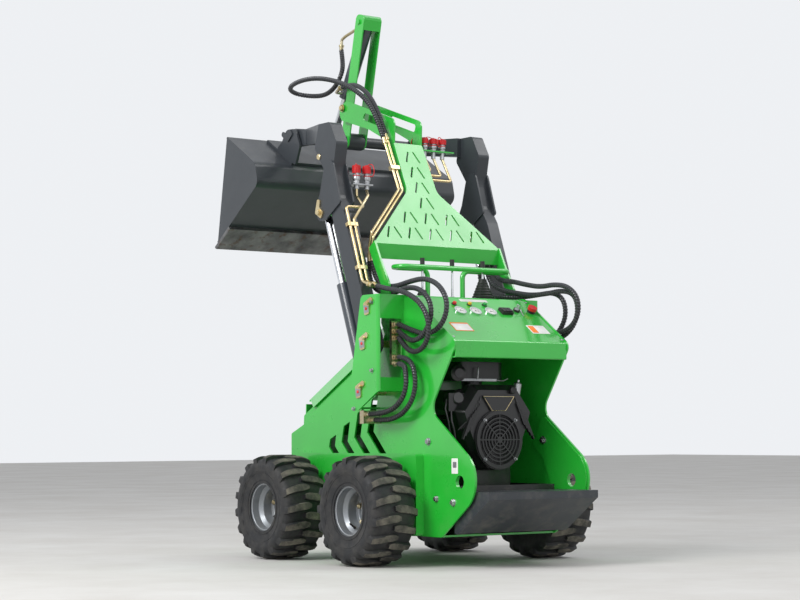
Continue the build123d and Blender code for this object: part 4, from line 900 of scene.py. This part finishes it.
def caps():
    """Ribbed dust caps with their rubber straps."""
    wall = CAP_R * MM
    for number, (foot, tall, body, lean) in enumerate(COUPLERS):
        base = at(*foot)
        cap = Build()
        low, high = tall * 0.60 * MM, (tall + 3) * MM
        place = Matrix.Translation(base)
        cap.lathe([(wall + 0.0002, low), (wall + 0.0022, low), (wall + 0.0022, low + 0.004),
                   (wall + 0.001, low + 0.005), (wall + 0.001, high - 0.002),
                   (wall - 0.002, high), (0.004, high + 0.0006)], 40, place)
        for k in range(CAP_RIBS):
            turned = Matrix.Rotation(math.tau * k / CAP_RIBS, 4, "Z")
            rib = place @ turned @ Matrix.Translation((wall + 0.0012, 0, 0))
            cap.slab([(-0.001, -0.0011), (0.0008, -0.0007), (0.0008, 0.0007), (-0.001, 0.0011)],
                     low + 0.006, high - 0.003, rib)
        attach(cap.piece(f"dust_cap_{number}", "red"), body)
        body_ring = Build()
        body_ring.lathe([(0.0158, tall * 0.2 * MM), (0.0168, tall * 0.24 * MM), (0.0168, tall * 0.34 * MM),
                         (0.0158, tall * 0.38 * MM)], 40, place)
        body_ring.lathe([(0.0135, tall * 0.06 * MM), (0.0135, tall * 0.15 * MM)], 6, place)
        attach(body_ring.piece(f"coupler_sleeve_{number}", "steel"), body)
        strap = Build()
        top = base + Vector((0, 0, high + 0.001))
        neck = base + Vector((0, 0, tall * 0.45 * MM))
        turn = 0.9 + 0.7 * number
        out = Vector((math.cos(turn), math.sin(turn), 0)) * lean
        reach = 0.036 + 0.006 * (number % 3)
        path = []
        for i in range(25):
            share = i / 24
            swing = math.sin(share * math.pi)
            path.append(top.lerp(neck + out * 0.0165, share) + out * (reach * swing + 0.004)
                        + Vector((0, 0, 0.013 * math.sin(share * math.tau))))
        path[0] = top + out * 0.002
        strap.tube(path, 0.0019, 8)
        strap.lathe([(0.006, -0.0015), (0.006, 0.0025)], 20, Matrix.Translation(top))
        ring = [neck + Vector((math.cos(math.tau * i / 28), math.sin(math.tau * i / 28), 0)) * 0.0142
                for i in range(29)]
        strap.tube(ring, 0.0022, 8)
        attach(strap.piece(f"cap_strap_{number}", "red"), body)


# ---------------------------------------------------------------- engine dressing
ENGINE_X, ENGINE_Y, ENGINE_Z = -22, 505, 520   # middle of the fan guard's face
COVER_BOLTS_R = 115.5      # radius of the circle of the guard's bolts
FAN_BLADES = 24
GUARD_RINGS = (14, 30, 46, 62, 78, 94, 112)    # radii of the CAD guard's own rings
BADGE = [(-88, 706), (88, 706), (38, 637), (-38, 637), (-88, 706)]
BADGE_Z = 671.5            # middle of the badge


def engine_dressing():
    """Wires of the fan guard, fan, badge edge, cooling ribs and cylinder fins."""
    bolts, ribs, black, bright = Build(), Build(), Build(), Build()
    out = (0, 1, 0)
    for k in range(4):
        angle = math.radians(45 + 90 * k)
        spot = at(ENGINE_X + COVER_BOLTS_R * math.cos(angle), ENGINE_Y + 5.3,
                  ENGINE_Z + COVER_BOLTS_R * math.sin(angle))
        bolt(bolts, spot, out, 10)
    for k in range(26):
        ring = 24 + 3.4 * k
        if min(abs(ring - edge) for edge in GUARD_RINGS) < 3.2:
            continue
        path = [at(ENGINE_X + ring * math.cos(math.tau * i / 72), ENGINE_Y + 1.5,
                   ENGINE_Z + ring * math.sin(math.tau * i / 72)) for i in range(73)]
        ribs.tube(path, 0.0009, 6)
    hub = Matrix.Translation(at(ENGINE_X, ENGINE_Y - 26, ENGINE_Z)) @ Matrix.Rotation(math.pi / 2, 4, "X")
    blade = [(x * MM, y * MM) for x, y in ((20, -4), (104, -22), (106, 4), (20, 8))]
    for k in range(FAN_BLADES):
        turned = Matrix.Rotation(math.tau * k / FAN_BLADES + 0.1, 4, "Z")
        black.slab(blade, -0.001, 0.001, hub @ turned @ Matrix.Rotation(0.5, 4, "X"))
    trim = [at(ENGINE_X + x * 0.93, ENGINE_Y + 0.4, BADGE_Z + (z - BADGE_Z) * 0.86) for x, z in BADGE]
    edge = []
    for a, b in zip(trim, trim[1:]):
        edge += [a.lerp(b, i / 8) for i in range(8)]
    edge.append(trim[-1])
    bright.tube(edge, 0.0012, 6)
    for sign in (-1, 1):
        for k in range(7):
            x = ENGINE_X + sign * (112 + 11 * k)
            low, high = 700 - 17 * k, 585 - 4 * k
            path = [at(x - sign * 20, ENGINE_Y - 6 - 0.9 * k, low),
                    at(x, ENGINE_Y - 7 - 2.5 * k, (low + high) / 2),
                    at(x + sign * 14, ENGINE_Y - 12 - 3.5 * k, high)]
            black.tube(path, 0.0028, 8)
    fins = Build()
    block = Matrix.Translation(at(ENGINE_X, 320, ENGINE_Z))
    fin = [(-0.068, -0.098), (0.068, -0.098), (0.068, 0.098), (-0.068, 0.098)]
    for sign in (-1, 1):
        for k in range(9):
            bank = block @ Matrix.Rotation(math.radians(45 * sign), 4, "Y")
            height = (122 + 9.5 * k) * MM
            fins.slab(fin, height, height + 0.0022, bank)
    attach(bolts.piece("engine_bolts", "steel"), "chassis")
    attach(ribs.piece("fan_guard_wires", "engine"), "chassis")
    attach(black.piece("engine_ribs_and_fan", "engine"), "chassis")
    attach(bright.piece("engine_badge_edge", "gold"), "chassis")
    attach(fins.piece("cylinder_fins", "engine"), "chassis")


def engine_fittings():
    """Hoses, intake, breather, linkage rods and oil filler around the engine."""
    parts = Build()
    parts.tube([at(168, 440, 700), at(150, 430, 716), at(122, 420, 724), at(92, 410, 720)], 0.011, 14)
    parts.lathe([(0.026, 0), (0.028, 0.004), (0.028, 0.03), (0.022, 0.036)], 28,
                facing(at(150, 430, 690), (0.3, 1, 0.2)))
    parts.slab([(0.118, 0.42), (0.205, 0.42), (0.205, 0.455), (0.118, 0.455)], 0.640, 0.715)
    parts.tube([at(190, 450, 640), at(196, 462, 600), at(186, 466, 560), at(176, 460, 520)], 0.005, 10)
    parts.tube([at(205, 440, 690), at(222, 452, 650), at(214, 462, 600), at(205, 460, 560),
                at(190, 450, 500)], 0.004, 10)
    parts.lathe([(0.03, 0), (0.034, 0.006), (0.034, 0.018), (0.02, 0.024), (0.02, 0.03)], 32,
                facing(at(118, 402, 800), (0.35, 1, 0)))
    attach(parts.piece("engine_hoses_and_intake", "engine"), "chassis")
    shiny = Build()
    shiny.lathe([(0.017, 0), (0.017, 0.05), (0.012, 0.056), (0.006, 0.056), (0.006, 0.066)], 28,
                facing(at(-143, 470, 708), (-0.15, 0.1, 1)))
    shiny.slab([(-0.085, 0.402), (0.105, 0.402), (0.105, 0.412), (-0.085, 0.412)], 0.768, 0.778)
    shiny.tube([at(20, 414, 776), at(22, 420, 800), at(18, 416, 826)], 0.0035, 10)
    shiny.tube([at(-85, 410, 772), at(-112, 424, 770), at(-128, 436, 780)], 0.003, 10)
    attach(shiny.piece("engine_bright_parts", "steel"), "chassis")
    filler = Build()
    filler.lathe([(0.014, 0), (0.016, 0.003), (0.016, 0.014), (0.011, 0.017)], 24,
                 facing(at(-96, ENGINE_Y - 5, 728), (0, 1, 0)))
    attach(filler.piece("oil_filler", "plastic"), "chassis")


# ---------------------------------------------------------------- lever boots
BOOTS = ((160, 27, 34), (-168, 51, 94))    # across, radius at the foot, height
BOOT_FOOT_Z, BOOT_NECK_R = 1127.4, 13


def lever_dressing():
    """Folded rubber boots around the feet of two of the levers."""
    boots = Build()
    for x, foot, tall in BOOTS:
        folds = max(round(tall / 12), 3)
        rows = []
        for i in range(folds):
            wide = foot + (BOOT_NECK_R - foot) * i / folds
            base = BOOT_FOOT_Z + tall * i / folds
            step = tall / folds
            rows += [(wide * MM, base * MM), ((wide + 1.2) * MM, (base + step * 0.3) * MM),
                     (wide * 0.86 * MM, (base + step * 0.95) * MM)]
        boots.lathe(rows, 40, Matrix.Translation(at(x, STALKS_Y, 0)))
    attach(boots.piece("lever_boots", "plastic"), "chassis")


camera()
studio()
for hose_name, hose_route in ROUTES.items():
    hose(hose_name, hose_route)
finish_nodes()
repaint_nodes()
link_plate()
wheels()
gauges()
console_fittings()
fastenings()
caps()
engine_dressing()
engine_fittings()
lever_dressing()
